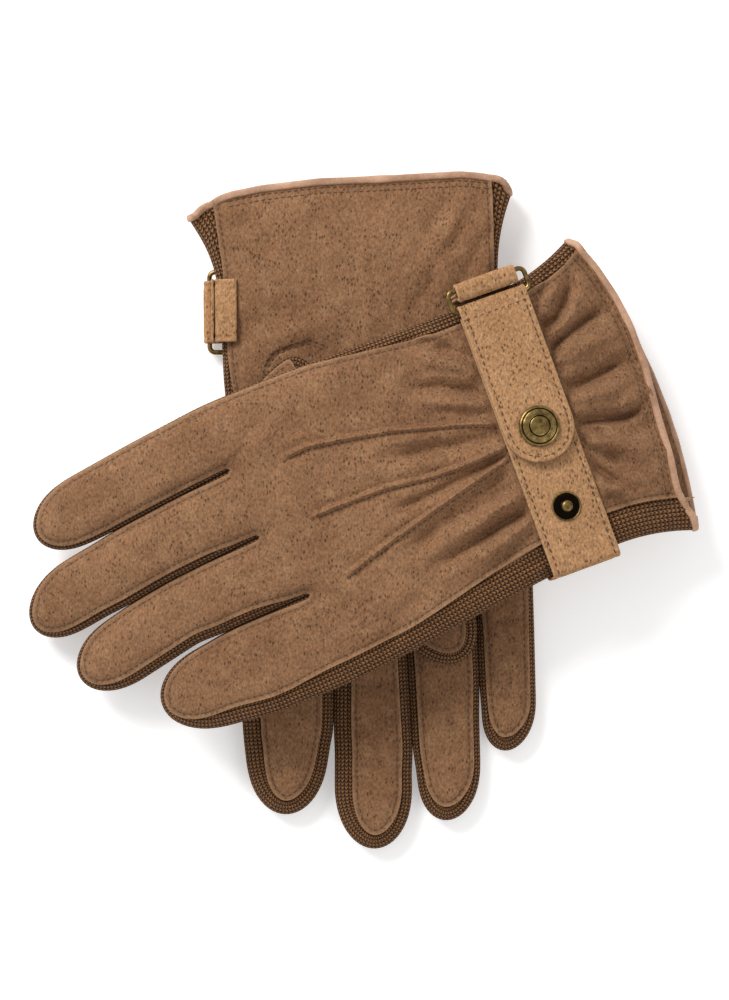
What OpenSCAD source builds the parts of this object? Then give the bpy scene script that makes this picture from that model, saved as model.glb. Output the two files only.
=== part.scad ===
// A pair of suede driving gloves with knitted side walls and a strap that closes on a press stud.
// The right glove lies palm up. The left glove lies across it, back up.
//
// Each glove is drawn in its own frame: x across the hand with the thumb on the plus side, y from the
// cuff to the fingertips, and z out of the back of the hand. The back of a glove follows a bent
// profile, so that the glove drapes. place() turns a finished glove into the shared frame.

/* [Glove] */
// Length from the corner of the cuff to the forks of the fingers
hand_length = 148; // [130:1:180]
// Width across the roots of the fingers
palm_width = 112; // [96:1:134]
// Half width at the wrist, under the strap
wrist_half = 50.5; // [42:0.5:61]
// Half width at the cuff hem
cuff_half = 58; // [48:0.5:70]
// How far the hem bows out beyond its corners
hem_bow = 9; // [4:0.5:12]
// Thickness of the empty hand and fingers
hand_height = 12; // [10:0.5:15]
// Length of the index finger from its fork
index_length = 74; // [62:1:90]
// Length of the middle finger from its fork
middle_length = 89; // [74:1:107]
// Length of the ring finger from its fork
ring_length = 80.5; // [67:0.5:97]
// Length of the little finger from the forks
little_length = 56.5; // [47:0.5:68]

/* [Leather and knit] */
// Thickness of the suede
leather = 1.1; // [0.9:0.1:1.4]
// Thickness of the knitted walls
knit = 1.6; // [1.2:0.1:2]
// Thickness of the binding round the hem
binding = 0.9; // [0.7:0.1:1.1]
// How far the binding reaches up from the hem
binding_width = 3.2; // [2.4:0.2:4]
// Width of the elastic at the wrist
elastic_width = 8; // [6:0.5:10]
// Length of the elastic at the wrist
elastic_length = 66; // [54:1:80]

/* [Thumb] */
// Length of the thumb from the middle of its root
thumb_length = 120; // [100:1:124]
// Half width of the thumb at its root
thumb_root_half = 16; // [13:0.5:17]
// Half width of the thumb near its tip
thumb_tip_half = 14; // [11.5:0.5:15.5]
// Thickness of the folded thumb
thumb_height = 7.5; // [6.5:0.5:9]

/* [Strap] */
// Width of the strap
strap_width = 26; // [21:0.5:31]
// Thickness of the strap
strap_leather = 1.2; // [1:0.1:1.5]
// Distance of the strap's middle from the corner of the cuff
strap_y = 39; // [36:0.5:42]
// Distance between the two studs
stud_pitch = 30.4; // [25:0.4:32]
// Diameter of the cap
cap_diameter = 15; // [12.5:0.5:18]
// Diameter of the wire of the loop
wire_diameter = 1.8; // [1.5:0.1:2.1]
// Distance between the two bars of the loop, middle to middle
loop_pitch = 8; // [7.5:0.1:9.6]

/* [Hidden] */
// Clearances
clear = 0.3;            // between layers that only lie on each other
wire_clear = 0.15;      // round the loop's wire
snap_clear = 0.2;       // round the post of a stud
knuckle_gap = 0.6;      // between the two sides of a knuckle
wall_gap = 2.2;         // from a side wall to the strap that goes round it

// Bends
left_lift = 30;         // degrees a left fingertip bends back, away from the table
right_curl = 60;        // degrees a right fingertip curls towards the palm
relief = 1.5;           // degrees of room beyond each bend
axis_depth = 3;         // depth of a knuckle's axis under the surface on the inside of its bend
strap_tilt = -4;        // degrees the strap leans across the glove

// Press stud
rivet_flange = 0.4;
rivet_radius = 4;
post_radius = 2.1;
post_height = 2.9;
stud_flange = 0.5;
stud_rim = 0.35;
stud_radius = 5.4;
socket_height = 1.4;
socket_radius = 5.8;
cap_height = 2.1;
barrel = 0.6;
tie_radius = 1.2;       // the stem of a stud, through the strap
keeper_width = 23;
loop_corner = 2;
foot = 7;               // how far the strap and the keeper run under the palm

LEFT = 0;
RIGHT = 1;
HANDS = ["left", "right"];
FINGERS = ["index", "middle", "ring", "little"];
finger_lengths = [index_length, middle_length, ring_length, little_length];
far = 300;

// The fork of the little finger is set back from the others.
little_set_back = 8;
wrist_y = 32;
root_y = hand_length;
widths = palm_width / 112;

// How the fingers lie. Middle and half width at the root, at the knuckle and where the tip starts to
// round, then the x of the tip and the distance from knuckle to tip.
lie = [
    [
        [43.7, 12.4, 41.6, 12.4, 40.0, 12.2, 38.5, 42],
        [18.0, 12.5, 15.6, 12.5, 12.6, 12.6, 9.5, 48],
        [-8.6, 12.4, -9.2, 12.1, -13.2, 12.6, -15.0, 47],
        [-39.8, 17.0, -39.2, 16.8, -38.4, 15.2, -37.8, 38],
    ],
    [
        [36.8, 18.1, 38.9, 16.2, 39.6, 15.2, 41.0, 29],
        [5.6, 12.3, 7.6, 13.3, 9.0, 14.2, 9.5, 50],
        [-20.7, 12.6, -20.3, 12.2, -19.2, 11.6, -17.5, 53],
        [-45.0, 10.3, -44.2, 10.2, -43.0, 9.9, -41.0, 44],
    ],
];
tip_roundness = 1.5;

// How far each suede panel stays inside the outline. Thumb side at the cuff and at the palm, little
// finger side at the cuff and at the palm, the fingertips, then both sides of each finger.
BACK = 0;
PALM = 1;
insets = [
    [
        [5.5, 0.9, 12, 7.8, 2.0, [[[0.9, 0.8], 1.6], [0.8, 3.0], [0.8, 3.6], [1.0, [7.8, 6.0]]]],
        [3.0, 3.0, 3.0, 3.0, 3.0, [[[3.0, 2.6], 2.6], [2.6, 2.6], [2.6, 2.6], [2.6, [3.0, 2.6]]]],
    ],
    [
        [3.0, 3.0, 3.0, 3.0, 3.0, [[[3.0, 2.6], 2.6], [2.6, 2.6], [2.6, 2.6], [2.6, [3.0, 2.6]]]],
        [5.0, 3.5, 4.0, 1.6, 5.3, [[[3.5, 6.8], [2.0, 4.2]], [[2.0, 6.4], [2.0, 3.6]], [2.5, 2.2],
            [2.2, [1.6, 2.0]]]],
    ],
];
inset_from = 60;
inset_to = 105;
fork_rim = 0.8;
past_knuckle = 4;

// Heights of the layers above the back of the hand at the strap
strap_bottom = rivet_flange;
strap_top = strap_bottom + strap_leather;
bar_z = strap_top + wire_clear + wire_diameter / 2;
fold_inner = wire_diameter / 2 + wire_clear;
fold_outer = fold_inner + strap_leather;
tab_bottom = bar_z + fold_inner;
tab_top = tab_bottom + strap_leather;
snap_top = tab_top + cap_height;

// Where the loop stands across the strap
far_bar_x = wrist_half + wall_gap + strap_leather + fold_outer;
near_bar_x = far_bar_x - loop_pitch;

// Height of the back surface along each glove. The left glove bridges the right one and both thumbs.
flat_from = 19;
flat_to = 60;
// The left glove lies this much higher, so that its thumb clears the right glove's raised wrist
over_wrist = 1.3;
crest = 2 * hand_height + 2 * thumb_height + 3 * clear + over_wrist;
wrist_drop = 6.2;
cuff_drop = 17;
finger_drop_from = max(hand_length + 24, 172);
profiles = [
    [
        [-11, crest - wrist_drop - cuff_drop + 5],
        [flat_from, crest - wrist_drop],
        [flat_to, crest],
        [finger_drop_from, crest],
        [hand_length + 92, hand_height + 1.5],
        [hand_length + 172, hand_height + 1.5],
    ],
    [
        [-11, 2 - snap_top],
        [flat_from, -snap_top],
        [flat_to, -snap_top],
        [flat_to + 18, 0],
        [hand_length + 172, 0],
    ],
];

// The thumb is folded across the palm.
thumb_root = [33, 66];
thumb_turn = 30.5;
thumb_inset = 4;
thumb_hole = [8, 11, 3];  // half width, half length, and how far along the thumb its middle is

// Places of the gloves in the shared frame
left_place = [98.2, 47.0, 0];
left_turn = 114;
right_place = [-3.4, 113.3, 0];
right_turn = 184.3;

finger_nodes = [for (f = FINGERS) for (p = ["back", "palm", "wall"]) str(f, "_tip_", p)];
hand_nodes = [
    "back_panel", "palm_panel", "thumb_side_wall", "little_side_wall", "fourchettes",
    "thumb_outer", "thumb_inner", "thumb_wall", "cuff_binding", "wrist_elastic",
    "strap", "strap_tab", "loop_keeper", "strap_loop", "snap_cap", "snap_socket", "snap_studs",
];

suede = [0.50, 0.38, 0.27];
wool = [0.44, 0.30, 0.18];
hem_colour = [0.70, 0.56, 0.47];
brass = [0.66, 0.54, 0.28];
dark_brass = [0.20, 0.18, 0.13];
elastic_colour = [0.30, 0.24, 0.19];

// ---------------------------------------------------------------- outlines

function ease(t) = (1 - cos(180 * max(0, min(1, t)))) / 2;

function row(h, i) = [for (k = [0:7]) lie[h][i][k] * (k < 7 ? widths : 1)];
function fork_y(i) = i == 3 ? root_y - little_set_back : root_y;
function tip_y(i) = fork_y(i) + finger_lengths[i] + (i == 3 ? little_set_back : 0);
function knuckle_y(h, i) = tip_y(i) - row(h, i)[7];
function tip_x(h, i) = row(h, i)[6];

// Edge of the hand at y, on the thumb side (s = 1) or the little finger side (s = -1)
function root_edge(h, s) = s > 0 ? row(h, 0)[0] + row(h, 0)[1] : row(h, 3)[1] - row(h, 3)[0];
function hand_edge(h, s, y) = y < wrist_y
    ? wrist_half + (cuff_half - wrist_half) * pow(1 - max(0, y) / wrist_y, 2)
    : wrist_half + (root_edge(h, s) - wrist_half) * ease((y - wrist_y) / (root_y - wrist_y));

// The hem is one line of short chords that every layer shares.
hem_line = [for (k = [-8:8]) [cuff_half * k / 8, -hem_bow * (1 - pow(k / 8, 2))]];
function hem(low, high, shift = 0) = concat(
    [[low, lookup(low, hem_line) + shift]],
    [for (q = hem_line) if (q[0] > low + 0.01 && q[0] < high - 0.01) [q[0], q[1] + shift]],
    [[high, lookup(high, hem_line) + shift]]
);

// The hand without its fingers. inset holds what the edge gives up at the cuff and at the palm on each
// side, forks what it gives up between the fingers, step where the little finger's fork begins beside
// the ring finger, and open runs the hem out past the cuff.
module hand_2d(h, inset = [0, 0, 0, 0], forks = 0, step = 0.5, open = false) {
    top = root_y - forks;
    low_top = top - little_set_back;
    function thumb_x(y) = hand_edge(h, 1, y) - lookup(y, [[inset_from, inset[0]], [inset_to, inset[1]]]);
    function little_x(y) = hand_edge(h, -1, y) - lookup(y, [[inset_from, inset[2]], [inset_to, inset[3]]]);
    steps = 26;
    fork_x = row(h, 2)[0] - row(h, 2)[1] + step;
    polygon(concat(
        [for (k = [1:steps]) let (y = top * k / steps) [thumb_x(y), y]],
        [[fork_x, top], [fork_x, low_top], [-little_x(low_top), low_top]],
        [for (k = [steps:-1:1]) let (y = top * k / steps) if (y < low_top - 2) [-little_x(y), y]],
        open
            ? [[-little_x(0), -40], [thumb_x(0), -40]]
            : hem(-little_x(0), thumb_x(0))
    ));
}

// One finger, from inside the hand to its tip. plus and minus are what its two sides give up, either
// all along or as a pair for the root and the rest.
function at_root(v) = is_list(v) ? v[0] : v;
function beyond_root(v) = is_list(v) ? v[1] : v;

module finger_2d(h, i, plus = 0, minus = 0, tip = 0) {
    r = row(h, i);
    p0 = r[0] + r[1] - at_root(plus);
    p1 = r[2] + r[3] - beyond_root(plus);
    m0 = r[0] - r[1] + at_root(minus);
    m1 = r[2] - r[3] + beyond_root(minus);
    shift = (beyond_root(minus) - beyond_root(plus)) / 2;
    half = r[5] - (beyond_root(minus) + beyond_root(plus)) / 2;
    long = half * tip_roundness;
    end_y = tip_y(i) - tip - long;
    root = fork_y(i);
    polygon(concat(
        [[p0 - 0.4, root - 12], [p0, root], [p1, knuckle_y(h, i)]],
        [for (a = [0:10:180]) let (c = r[4] + shift + (r[6] - r[4]) * sin(a))
            [c + half * cos(a), end_y + long * sin(a)]],
        [[m1, knuckle_y(h, i)], [m0, root], [m0 + 0.4, root - 12]]
    ));
}

// A finger's part of the hand, from inside the hand to just beyond the knuckle
module finger_root_2d(h, i, plus = 0, minus = 0) {
    r = row(h, i);
    y = knuckle_y(h, i);
    root = fork_y(i);
    beyond = 1 + past_knuckle / (y - root);
    p0 = r[0] + r[1] - at_root(plus);
    m0 = r[0] - r[1] + at_root(minus);
    p1 = p0 + (r[2] + r[3] - beyond_root(plus) - p0) * beyond;
    m1 = m0 + (r[2] - r[3] + beyond_root(minus) - m0) * beyond;
    polygon([
        [p0 - 0.4, root - 12], [p0, root], [p1, y + past_knuckle],
        [m1, y + past_knuckle], [m0, root], [m0 + 0.4, root - 12],
    ]);
}

module tip_2d(h, side, i) {
    n = insets[h][side];
    finger_2d(h, i, n[5][i][0], n[5][i][1], n[4]);
}

// A band along one side of the hand, width[0] wide at the cuff and width[1] at the palm
module hand_strip_2d(h, s, width) {
    top = s > 0 ? root_y : root_y - little_set_back;
    function outer(y) = hand_edge(h, s, y);
    function inner(y) = outer(y) - lookup(y, [[inset_from, width[0]], [inset_to, width[1]]]);
    steps = 26;
    line = s > 0 ? hem(inner(0), outer(0)) : hem(-outer(0), -inner(0));
    polygon(concat(
        s > 0 ? line : [for (k = [len(line) - 1:-1:0]) line[k]],
        [for (k = [1:steps]) let (y = top * k / steps) [s * outer(y), y]],
        [for (k = [steps:-1:1]) let (y = top * k / steps) [s * inner(y), y]]
    ));
}

// A band along one side of a finger, from y = start to just beyond the knuckle
module finger_strip_2d(h, i, s, width, start, tuck = 0) {
    r = row(h, i);
    y = knuckle_y(h, i);
    root = fork_y(i);
    beyond = 1 + past_knuckle / (y - root);
    x0 = r[0] + s * r[1];
    x1 = x0 + (r[2] + s * r[3] - x0) * beyond;
    w0 = at_root(width);
    w1 = w0 + (beyond_root(width) - w0) * beyond;
    polygon([
        [x0 - s * tuck, start], [x0, root], [x1, y + past_knuckle],
        [x1 - s * w1, y + past_knuckle], [x0 - s * w0, root], [x0 - s * (w0 - tuck), start],
    ]);
}

// The bottom of the fork between finger i and the next one
module fork_2d(h, i, width_i, width_next, depth) {
    a = row(h, i);
    b = row(h, i + 1);
    low = b[0] + b[1] - width_next;
    high = a[0] - a[1] + width_i;
    y = fork_y(i + 1);
    translate([low, y - depth]) square([high - low, depth]);
}

module thumb_2d(inset = 0) {
    root = thumb_root_half - inset;
    half = thumb_tip_half - inset;
    long = half * tip_roundness;
    translate(thumb_root) rotate(thumb_turn) polygon(concat(
        [for (a = [0:10:180]) [half * cos(a), thumb_length - inset - long + long * sin(a)]],
        [for (a = [180:10:360]) [root * cos(a), root * sin(a)]]
    ));
}

module thumb_hole_2d() {
    translate(thumb_root) rotate(thumb_turn) translate([0, thumb_hole[2]])
        polygon([for (a = [0:15:345]) [thumb_hole[0] * cos(a), thumb_hole[1] * sin(a)]]);
}

// ---------------------------------------------------------------- layers

// Everything between two depths under the back surface. The depth is measured square to the surface.
function square_to(a, b) = [a[1] - b[1], b[0] - a[0]] / norm(b - a);
function under(p, k, depth) = let (
    before = square_to(p[max(k - 1, 0)], p[max(k - 1, 0) + 1]),
    after = square_to(p[min(k, len(p) - 2)], p[min(k, len(p) - 2) + 1])
) p[k] - depth * (before + after) / (1 + before * after);

module slab(h, from, to) {
    p = profiles[h];
    rotate([90, 0, 90]) translate([0, 0, -far / 2]) linear_extrude(far)
        polygon(concat(
            [for (k = [0:len(p) - 1]) under(p, k, from)],
            [for (k = [len(p) - 1:-1:0]) under(p, k, to)]
        ));
}

module layer(h, from, to) {
    intersection() {
        translate([0, 0, -far / 2]) linear_extrude(far) children();
        slab(h, from, to);
    }
}

function bend(h) = h == LEFT ? left_lift : right_curl;
function axis_z(h, i) = lookup(knuckle_y(h, i), profiles[h])
    - (h == LEFT ? axis_depth : hand_height - axis_depth);
function finger_turn(h, i) = atan2(row(h, i)[2] - tip_x(h, i), tip_y(i) - knuckle_y(h, i));

// A block that starts at a knuckle. out is +1 for the fingertip's own face and -1 for what the hand
// gives up, and the face leans that way on the inside of the bend.
module beyond_knuckle(h, i, out = 1) {
    inside = h == LEFT ? 60 : -60;
    start = out * knuckle_gap / 2;
    lean = out * 60 * tan(bend(h) / 2 + relief);
    translate([row(h, i)[2], knuckle_y(h, i), axis_z(h, i)]) rotate([0, 0, finger_turn(h, i)])
        rotate([90, 0, 90]) translate([0, 0, -40]) linear_extrude(80) polygon([
            [start, -inside], [start, 0], [start + lean, inside], [200, inside], [200, -inside],
        ]);
}

module panel_layer(h, side) {
    from = side == BACK ? 0 : hand_height - leather;
    layer(h, from, from + leather) children();
}

// A panel of the hand, with the roots of its fingers
module panel(h, side) {
    n = insets[h][side];
    panel_layer(h, side) hand_2d(h, n, fork_rim, 0.5 + beyond_root(n[5][2][1]));
    for (i = [0:3]) difference() {
        panel_layer(h, side) finger_root_2d(h, i, n[5][i][0], n[5][i][1]);
        beyond_knuckle(h, i, -1);
    }
}

// The knitted walls are channels: a web between the panels, and a lip beside each panel.
module hand_channel(h, s) {
    k = s > 0 ? 0 : 2;
    layer(h, leather, hand_height - leather) hand_strip_2d(h, s, [knit, knit]);
    for (side = [BACK, PALM]) let (n = insets[h][side])
        panel_layer(h, side) hand_strip_2d(h, s, [n[k], n[k + 1]]);
}

module finger_channel(h, i, s) {
    outside = (i == 0 && s > 0) || (i == 3 && s < 0);
    tuck = outside ? 0.1 : 0;
    start = outside ? fork_y(i) - 4 : fork_y(s > 0 ? i : i + 1);
    which = s > 0 ? 0 : 1;
    difference() {
        union() {
            layer(h, leather, hand_height - leather)
                finger_strip_2d(h, i, s, knit, outside ? start : start - knit, tuck);
            for (side = [BACK, PALM]) panel_layer(h, side)
                finger_strip_2d(h, i, s, insets[h][side][5][i][which], outside ? start : start - fork_rim, tuck);
        }
        beyond_knuckle(h, i, -1);
    }
}

module fourchette(h, i) {
    finger_channel(h, i, -1);
    finger_channel(h, i + 1, 1);
    layer(h, leather, hand_height - leather) fork_2d(h, i, knit, knit, knit);
    for (side = [BACK, PALM]) let (n = insets[h][side][5])
        panel_layer(h, side) fork_2d(h, i, at_root(n[i][1]), at_root(n[i + 1][0]), fork_rim);
}

// ---------------------------------------------------------------- soft parts

module back_panel(h) { color(suede) panel(h, BACK); }

module palm_panel(h) {
    color(suede) difference() {
        panel(h, PALM);
        layer(h, hand_height - 2 * leather, hand_height + leather) thumb_hole_2d();
    }
}

module thumb_side_wall(h) {
    color(wool) union() {
        hand_channel(h, 1);
        finger_channel(h, 0, 1);
    }
}

module little_side_wall(h) {
    color(wool) union() {
        hand_channel(h, -1);
        finger_channel(h, 3, -1);
    }
}

module fourchettes(h) { color(wool) for (i = [0:2]) fourchette(h, i); }

module tip_panel(h, i, side) {
    color(suede) intersection() {
        panel_layer(h, side) tip_2d(h, side, i);
        beyond_knuckle(h, i);
    }
}

module tip_wall(h, i) {
    color(wool) intersection() {
        difference() {
            layer(h, 0, hand_height) finger_2d(h, i);
            layer(h, -1, leather) tip_2d(h, BACK, i);
            layer(h, hand_height - leather, hand_height + 1) tip_2d(h, PALM, i);
            layer(h, leather, hand_height - leather) finger_2d(h, i, knit, knit, knit);
        }
        beyond_knuckle(h, i);
    }
}

thumb_from = hand_height + clear;
thumb_to = thumb_from + thumb_height;

module thumb_outer(h) { color(suede) layer(h, thumb_to - leather, thumb_to) thumb_2d(thumb_inset); }

module thumb_inner(h) {
    color(suede) layer(h, thumb_from, thumb_from + leather) difference() {
        thumb_2d(thumb_inset);
        thumb_hole_2d();
    }
}

module thumb_wall(h) {
    color(wool) difference() {
        layer(h, thumb_from, thumb_to) thumb_2d();
        layer(h, thumb_from - 1, thumb_from + leather) thumb_2d(thumb_inset);
        layer(h, thumb_to - leather, thumb_to + 1) thumb_2d(thumb_inset);
        layer(h, thumb_from + leather, thumb_to - leather) thumb_2d(knit);
    }
}

// A strip along the hem, from beyond it to binding_width inside
module hem_band_2d(beyond, out) {
    half = cuff_half + out;
    low = hem(-half, half, -beyond);
    high = hem(-half, half, binding_width);
    polygon(concat(low, [for (k = [len(high) - 1:-1:0]) high[k]]));
}

module cuff_binding(h) {
    color(hem_colour) difference() {
        layer(h, -binding, hand_height + binding) hem_band_2d(binding, binding);
        difference() {
            layer(h, 0, hand_height) hand_2d(h);
            layer(h, leather, hand_height - leather)
                hand_2d(h, [knit, knit, knit, knit], knit, 0.5 + knit, true);
        }
        layer(h, leather + binding, hand_height - leather - binding)
            square([2 * (cuff_half - knit - binding), 80], center = true);
    }
}

module wrist_elastic(h) {
    color(elastic_colour) layer(h, leather, leather + 1)
        translate([-elastic_length / 2, strap_y - elastic_width / 2]) square([elastic_length, elastic_width]);
}

// ---------------------------------------------------------------- strap and its metal

function strap_slope(h) = let (a = profiles[h][1], b = profiles[h][2]) atan2(b[1] - a[1], b[0] - a[0]);
module strap_frame(h) {
    translate([0, strap_y, lookup(strap_y, profiles[h])])
        rotate([strap_slope(h), 0, 0]) rotate([0, 0, strap_tilt]) children();
}

// A strip that runs along the strap, from its outline in x and z
module strip(width) { translate([0, width / 2, 0]) rotate([90, 0, 0]) linear_extrude(width) children(); }

module stud_places() { for (x = [0, -stud_pitch]) translate([x, 0, 0]) children(); }

module strap(h) {
    leg_x = wrist_half + wall_gap;
    end_x = near_bar_x - sqrt(pow(fold_outer, 2) - pow(fold_inner, 2)) - clear;
    bottom = -hand_height - strap_leather;
    color(suede) strap_frame(h) difference() {
        strip(strap_width) polygon([
            [end_x, strap_bottom], [end_x, strap_top],
            [-leg_x, strap_top], [-leg_x - strap_leather, strap_bottom],
            [-leg_x - strap_leather, bottom], [-leg_x + foot, bottom],
            [-leg_x + foot, bottom + strap_leather], [-leg_x, bottom + strap_leather],
            [-leg_x, strap_bottom],
        ]);
        stud_places() translate([0, 0, strap_bottom - 1]) cylinder(r = tie_radius, h = strap_leather + 2, $fn = 48);
    }
}

module strap_tab(h) {
    color(suede) strap_frame(h) difference() {
        union() {
            translate([0, 0, tab_bottom]) cylinder(r = strap_width / 2, h = strap_leather, $fn = 96);
            translate([0, -strap_width / 2, tab_bottom]) cube([near_bar_x, strap_width, strap_leather]);
            translate([near_bar_x, 0, bar_z]) strip(strap_width) difference() {
                circle(r = fold_outer, $fn = 64);
                circle(r = fold_inner, $fn = 64);
                translate([-2 * fold_outer, -fold_outer * 2]) square([2 * fold_outer, 4 * fold_outer]);
            }
        }
        translate([0, 0, tab_bottom - 1]) cylinder(r = post_radius + snap_clear + barrel + 0.08, h = strap_leather + 2, $fn = 64);
    }
}

module loop_keeper(h) {
    bottom = -hand_height - strap_leather;
    leg_x = wrist_half + wall_gap;
    color(suede) strap_frame(h) strip(keeper_width) difference() {
        union() {
            translate([far_bar_x, bar_z]) circle(r = fold_outer, $fn = 64);
            translate([leg_x, bottom]) square([2 * strap_leather, bar_z - bottom]);
            translate([leg_x - foot, bottom]) square([foot, strap_leather]);
        }
        translate([far_bar_x, bar_z]) circle(r = fold_inner, $fn = 64);
    }
}

// The loop is a rounded rectangle of wire.
module strap_loop(h) {
    half_y = strap_width / 2 + wire_diameter;
    straight_y = half_y - loop_corner;
    straight_x = loop_pitch / 2 - loop_corner;
    middle_x = (near_bar_x + far_bar_x) / 2;
    color(brass) strap_frame(h) translate([middle_x, 0, bar_z]) {
        for (s = [-1, 1]) {
            translate([s * loop_pitch / 2, -straight_y, 0]) rotate([-90, 0, 0])
                cylinder(d = wire_diameter, h = 2 * straight_y, $fn = 32);
            translate([-straight_x, s * half_y, 0]) rotate([0, 90, 0])
                cylinder(d = wire_diameter, h = 2 * straight_x, $fn = 32);
        }
        for (a = [0:3]) translate([a == 0 || a == 3 ? straight_x : -straight_x, a < 2 ? straight_y : -straight_y, 0])
            rotate([0, 0, 90 * a]) rotate_extrude(angle = 90, $fn = 48)
                translate([loop_corner, 0]) circle(d = wire_diameter, $fn = 32);
    }
}

module snap_cap(h) {
    inner = post_radius + snap_clear;
    rim = 0.5;
    color(brass) strap_frame(h) translate([0, 0, tab_top]) rotate_extrude($fn = 96) difference() {
        polygon([
            [0, 1.2], [inner, 1.2], [inner, -strap_leather], [inner + barrel, -strap_leather],
            [inner + barrel, 0], [cap_diameter / 2 - rim, 0], [cap_diameter / 2, rim],
            [cap_diameter / 2 - 0.3, 1.2], [cap_diameter / 2 - 1.6, 1.8], [0, cap_height],
        ]);
        // two plain rings are pressed into the dome
        for (r = [2.6, 6]) translate([r, cap_height - r * 0.045]) circle(r = 0.16, $fn = 24);
    }
}

module snap_socket(h) {
    color(brass) strap_frame(h) translate([0, 0, tab_bottom - socket_height]) difference() {
        cylinder(r = socket_radius, h = socket_height, $fn = 64);
        translate([0, 0, -1]) cylinder(r = post_radius + snap_clear, h = socket_height + 2, $fn = 64);
    }
}

module snap_studs(h) {
    color(brass) strap_frame(h) stud_places() {
        translate([0, 0, strap_top]) rotate_extrude($fn = 64) polygon([
            [0, 0], [stud_radius, 0], [stud_radius, stud_rim + 0.2], [stud_radius - 0.5, stud_rim + 0.2],
            [stud_radius - 0.8, 0.3], [post_radius - 0.3, 0.3], [post_radius - 0.3, 1.2],
            [post_radius, 1.7], [post_radius - 0.2, post_height - 0.5], [post_radius - 1, post_height],
            [0, post_height],
        ]);
        cylinder(r = rivet_radius, h = rivet_flange, $fn = 64);
        translate([0, 0, rivet_flange]) cylinder(r = tie_radius, h = strap_leather, $fn = 48);
    }
}

// ---------------------------------------------------------------- the pair

module place(h) {
    if (h == LEFT) translate(left_place) rotate([0, 0, left_turn]) children();
    else translate(right_place) rotate([0, 0, right_turn]) mirror([0, 0, 1]) children();
}

module hand_node(h, name) {
    if (name == "back_panel") back_panel(h);
    if (name == "palm_panel") palm_panel(h);
    if (name == "thumb_side_wall") thumb_side_wall(h);
    if (name == "little_side_wall") little_side_wall(h);
    if (name == "fourchettes") fourchettes(h);
    if (name == "thumb_outer") thumb_outer(h);
    if (name == "thumb_inner") thumb_inner(h);
    if (name == "thumb_wall") thumb_wall(h);
    if (name == "cuff_binding") cuff_binding(h);
    if (name == "wrist_elastic") wrist_elastic(h);
    if (name == "strap") strap(h);
    if (name == "strap_tab") strap_tab(h);
    if (name == "loop_keeper") loop_keeper(h);
    if (name == "strap_loop") strap_loop(h);
    if (name == "snap_cap") snap_cap(h);
    if (name == "snap_socket") snap_socket(h);
    if (name == "snap_studs") snap_studs(h);
    for (i = [0:3]) {
        if (name == str(FINGERS[i], "_tip_back")) tip_panel(h, i, BACK);
        if (name == str(FINGERS[i], "_tip_palm")) tip_panel(h, i, PALM);
        if (name == str(FINGERS[i], "_tip_wall")) tip_wall(h, i);
    }
}

for (h = [LEFT, RIGHT]) for (name = concat(hand_nodes, finger_nodes))
    place(h) hand_node(h, name);
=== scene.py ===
# %% [markdown]
# # A pair of suede driving gloves
# Each glove has a suede back and palm, ribbed knit side walls, a bound cuff, and a strap that turns
# round a wire loop and closes on a press stud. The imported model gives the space, the bodies and the
# joints. This script makes what the eye sees: puffed leather with creases and tucks, knit with real
# ribs, thread, and metal. Lengths are in millimetres until a mesh is made, and then in metres.

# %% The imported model
import math
import random

import bpy
import numpy as np
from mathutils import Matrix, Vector, noise
from mathutils.geometry import delaunay_2d_cdt


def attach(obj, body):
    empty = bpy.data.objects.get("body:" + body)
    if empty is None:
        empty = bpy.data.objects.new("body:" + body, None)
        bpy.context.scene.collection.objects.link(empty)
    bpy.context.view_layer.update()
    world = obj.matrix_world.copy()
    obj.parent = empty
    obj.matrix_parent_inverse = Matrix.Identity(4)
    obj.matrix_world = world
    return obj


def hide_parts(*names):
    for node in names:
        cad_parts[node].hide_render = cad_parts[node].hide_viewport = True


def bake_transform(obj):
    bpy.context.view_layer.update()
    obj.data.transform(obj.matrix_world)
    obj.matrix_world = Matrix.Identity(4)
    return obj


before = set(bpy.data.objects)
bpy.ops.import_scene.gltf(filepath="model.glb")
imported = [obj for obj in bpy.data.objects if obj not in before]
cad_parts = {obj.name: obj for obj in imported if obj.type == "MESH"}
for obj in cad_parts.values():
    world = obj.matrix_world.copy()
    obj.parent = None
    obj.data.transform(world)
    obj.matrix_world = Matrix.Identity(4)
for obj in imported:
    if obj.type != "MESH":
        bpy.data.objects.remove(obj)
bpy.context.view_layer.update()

LEFT, RIGHT = 0, 1
HANDS = ["left", "right"]
FINGERS = ["index", "middle", "ring", "little"]
BACK, PALM = 0, 1

hand_length = 148.0
wrist_y, wrist_half = 32.0, 50.5         # the narrowest place, and half its width
cuff_half = 58.0
height = 12.0            # thickness of the empty hand
leather = 1.1
finger_lengths = [74.0, 89.0, 80.5, 56.5]
set_back = 8.0           # of the little finger's fork
thumb_root, thumb_turn = (33.0, 66.0), math.radians(30.5)
thumb_length, thumb_half, thumb_height = 120.0, (16.0, 14.0), 7.5
clear = 0.3
strap_y, strap_tilt, strap_width, strap_thick = 39.0, math.radians(-4), 26.0, 1.2
wire, loop_pitch, stud_pitch = 1.8, 8.0, 30.4
over_wrist = 1.3         # more room between the gloves, where the thumbs cross
crest = 2 * height + 2 * thumb_height + 3 * clear + over_wrist
rand = random.Random(7)

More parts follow.
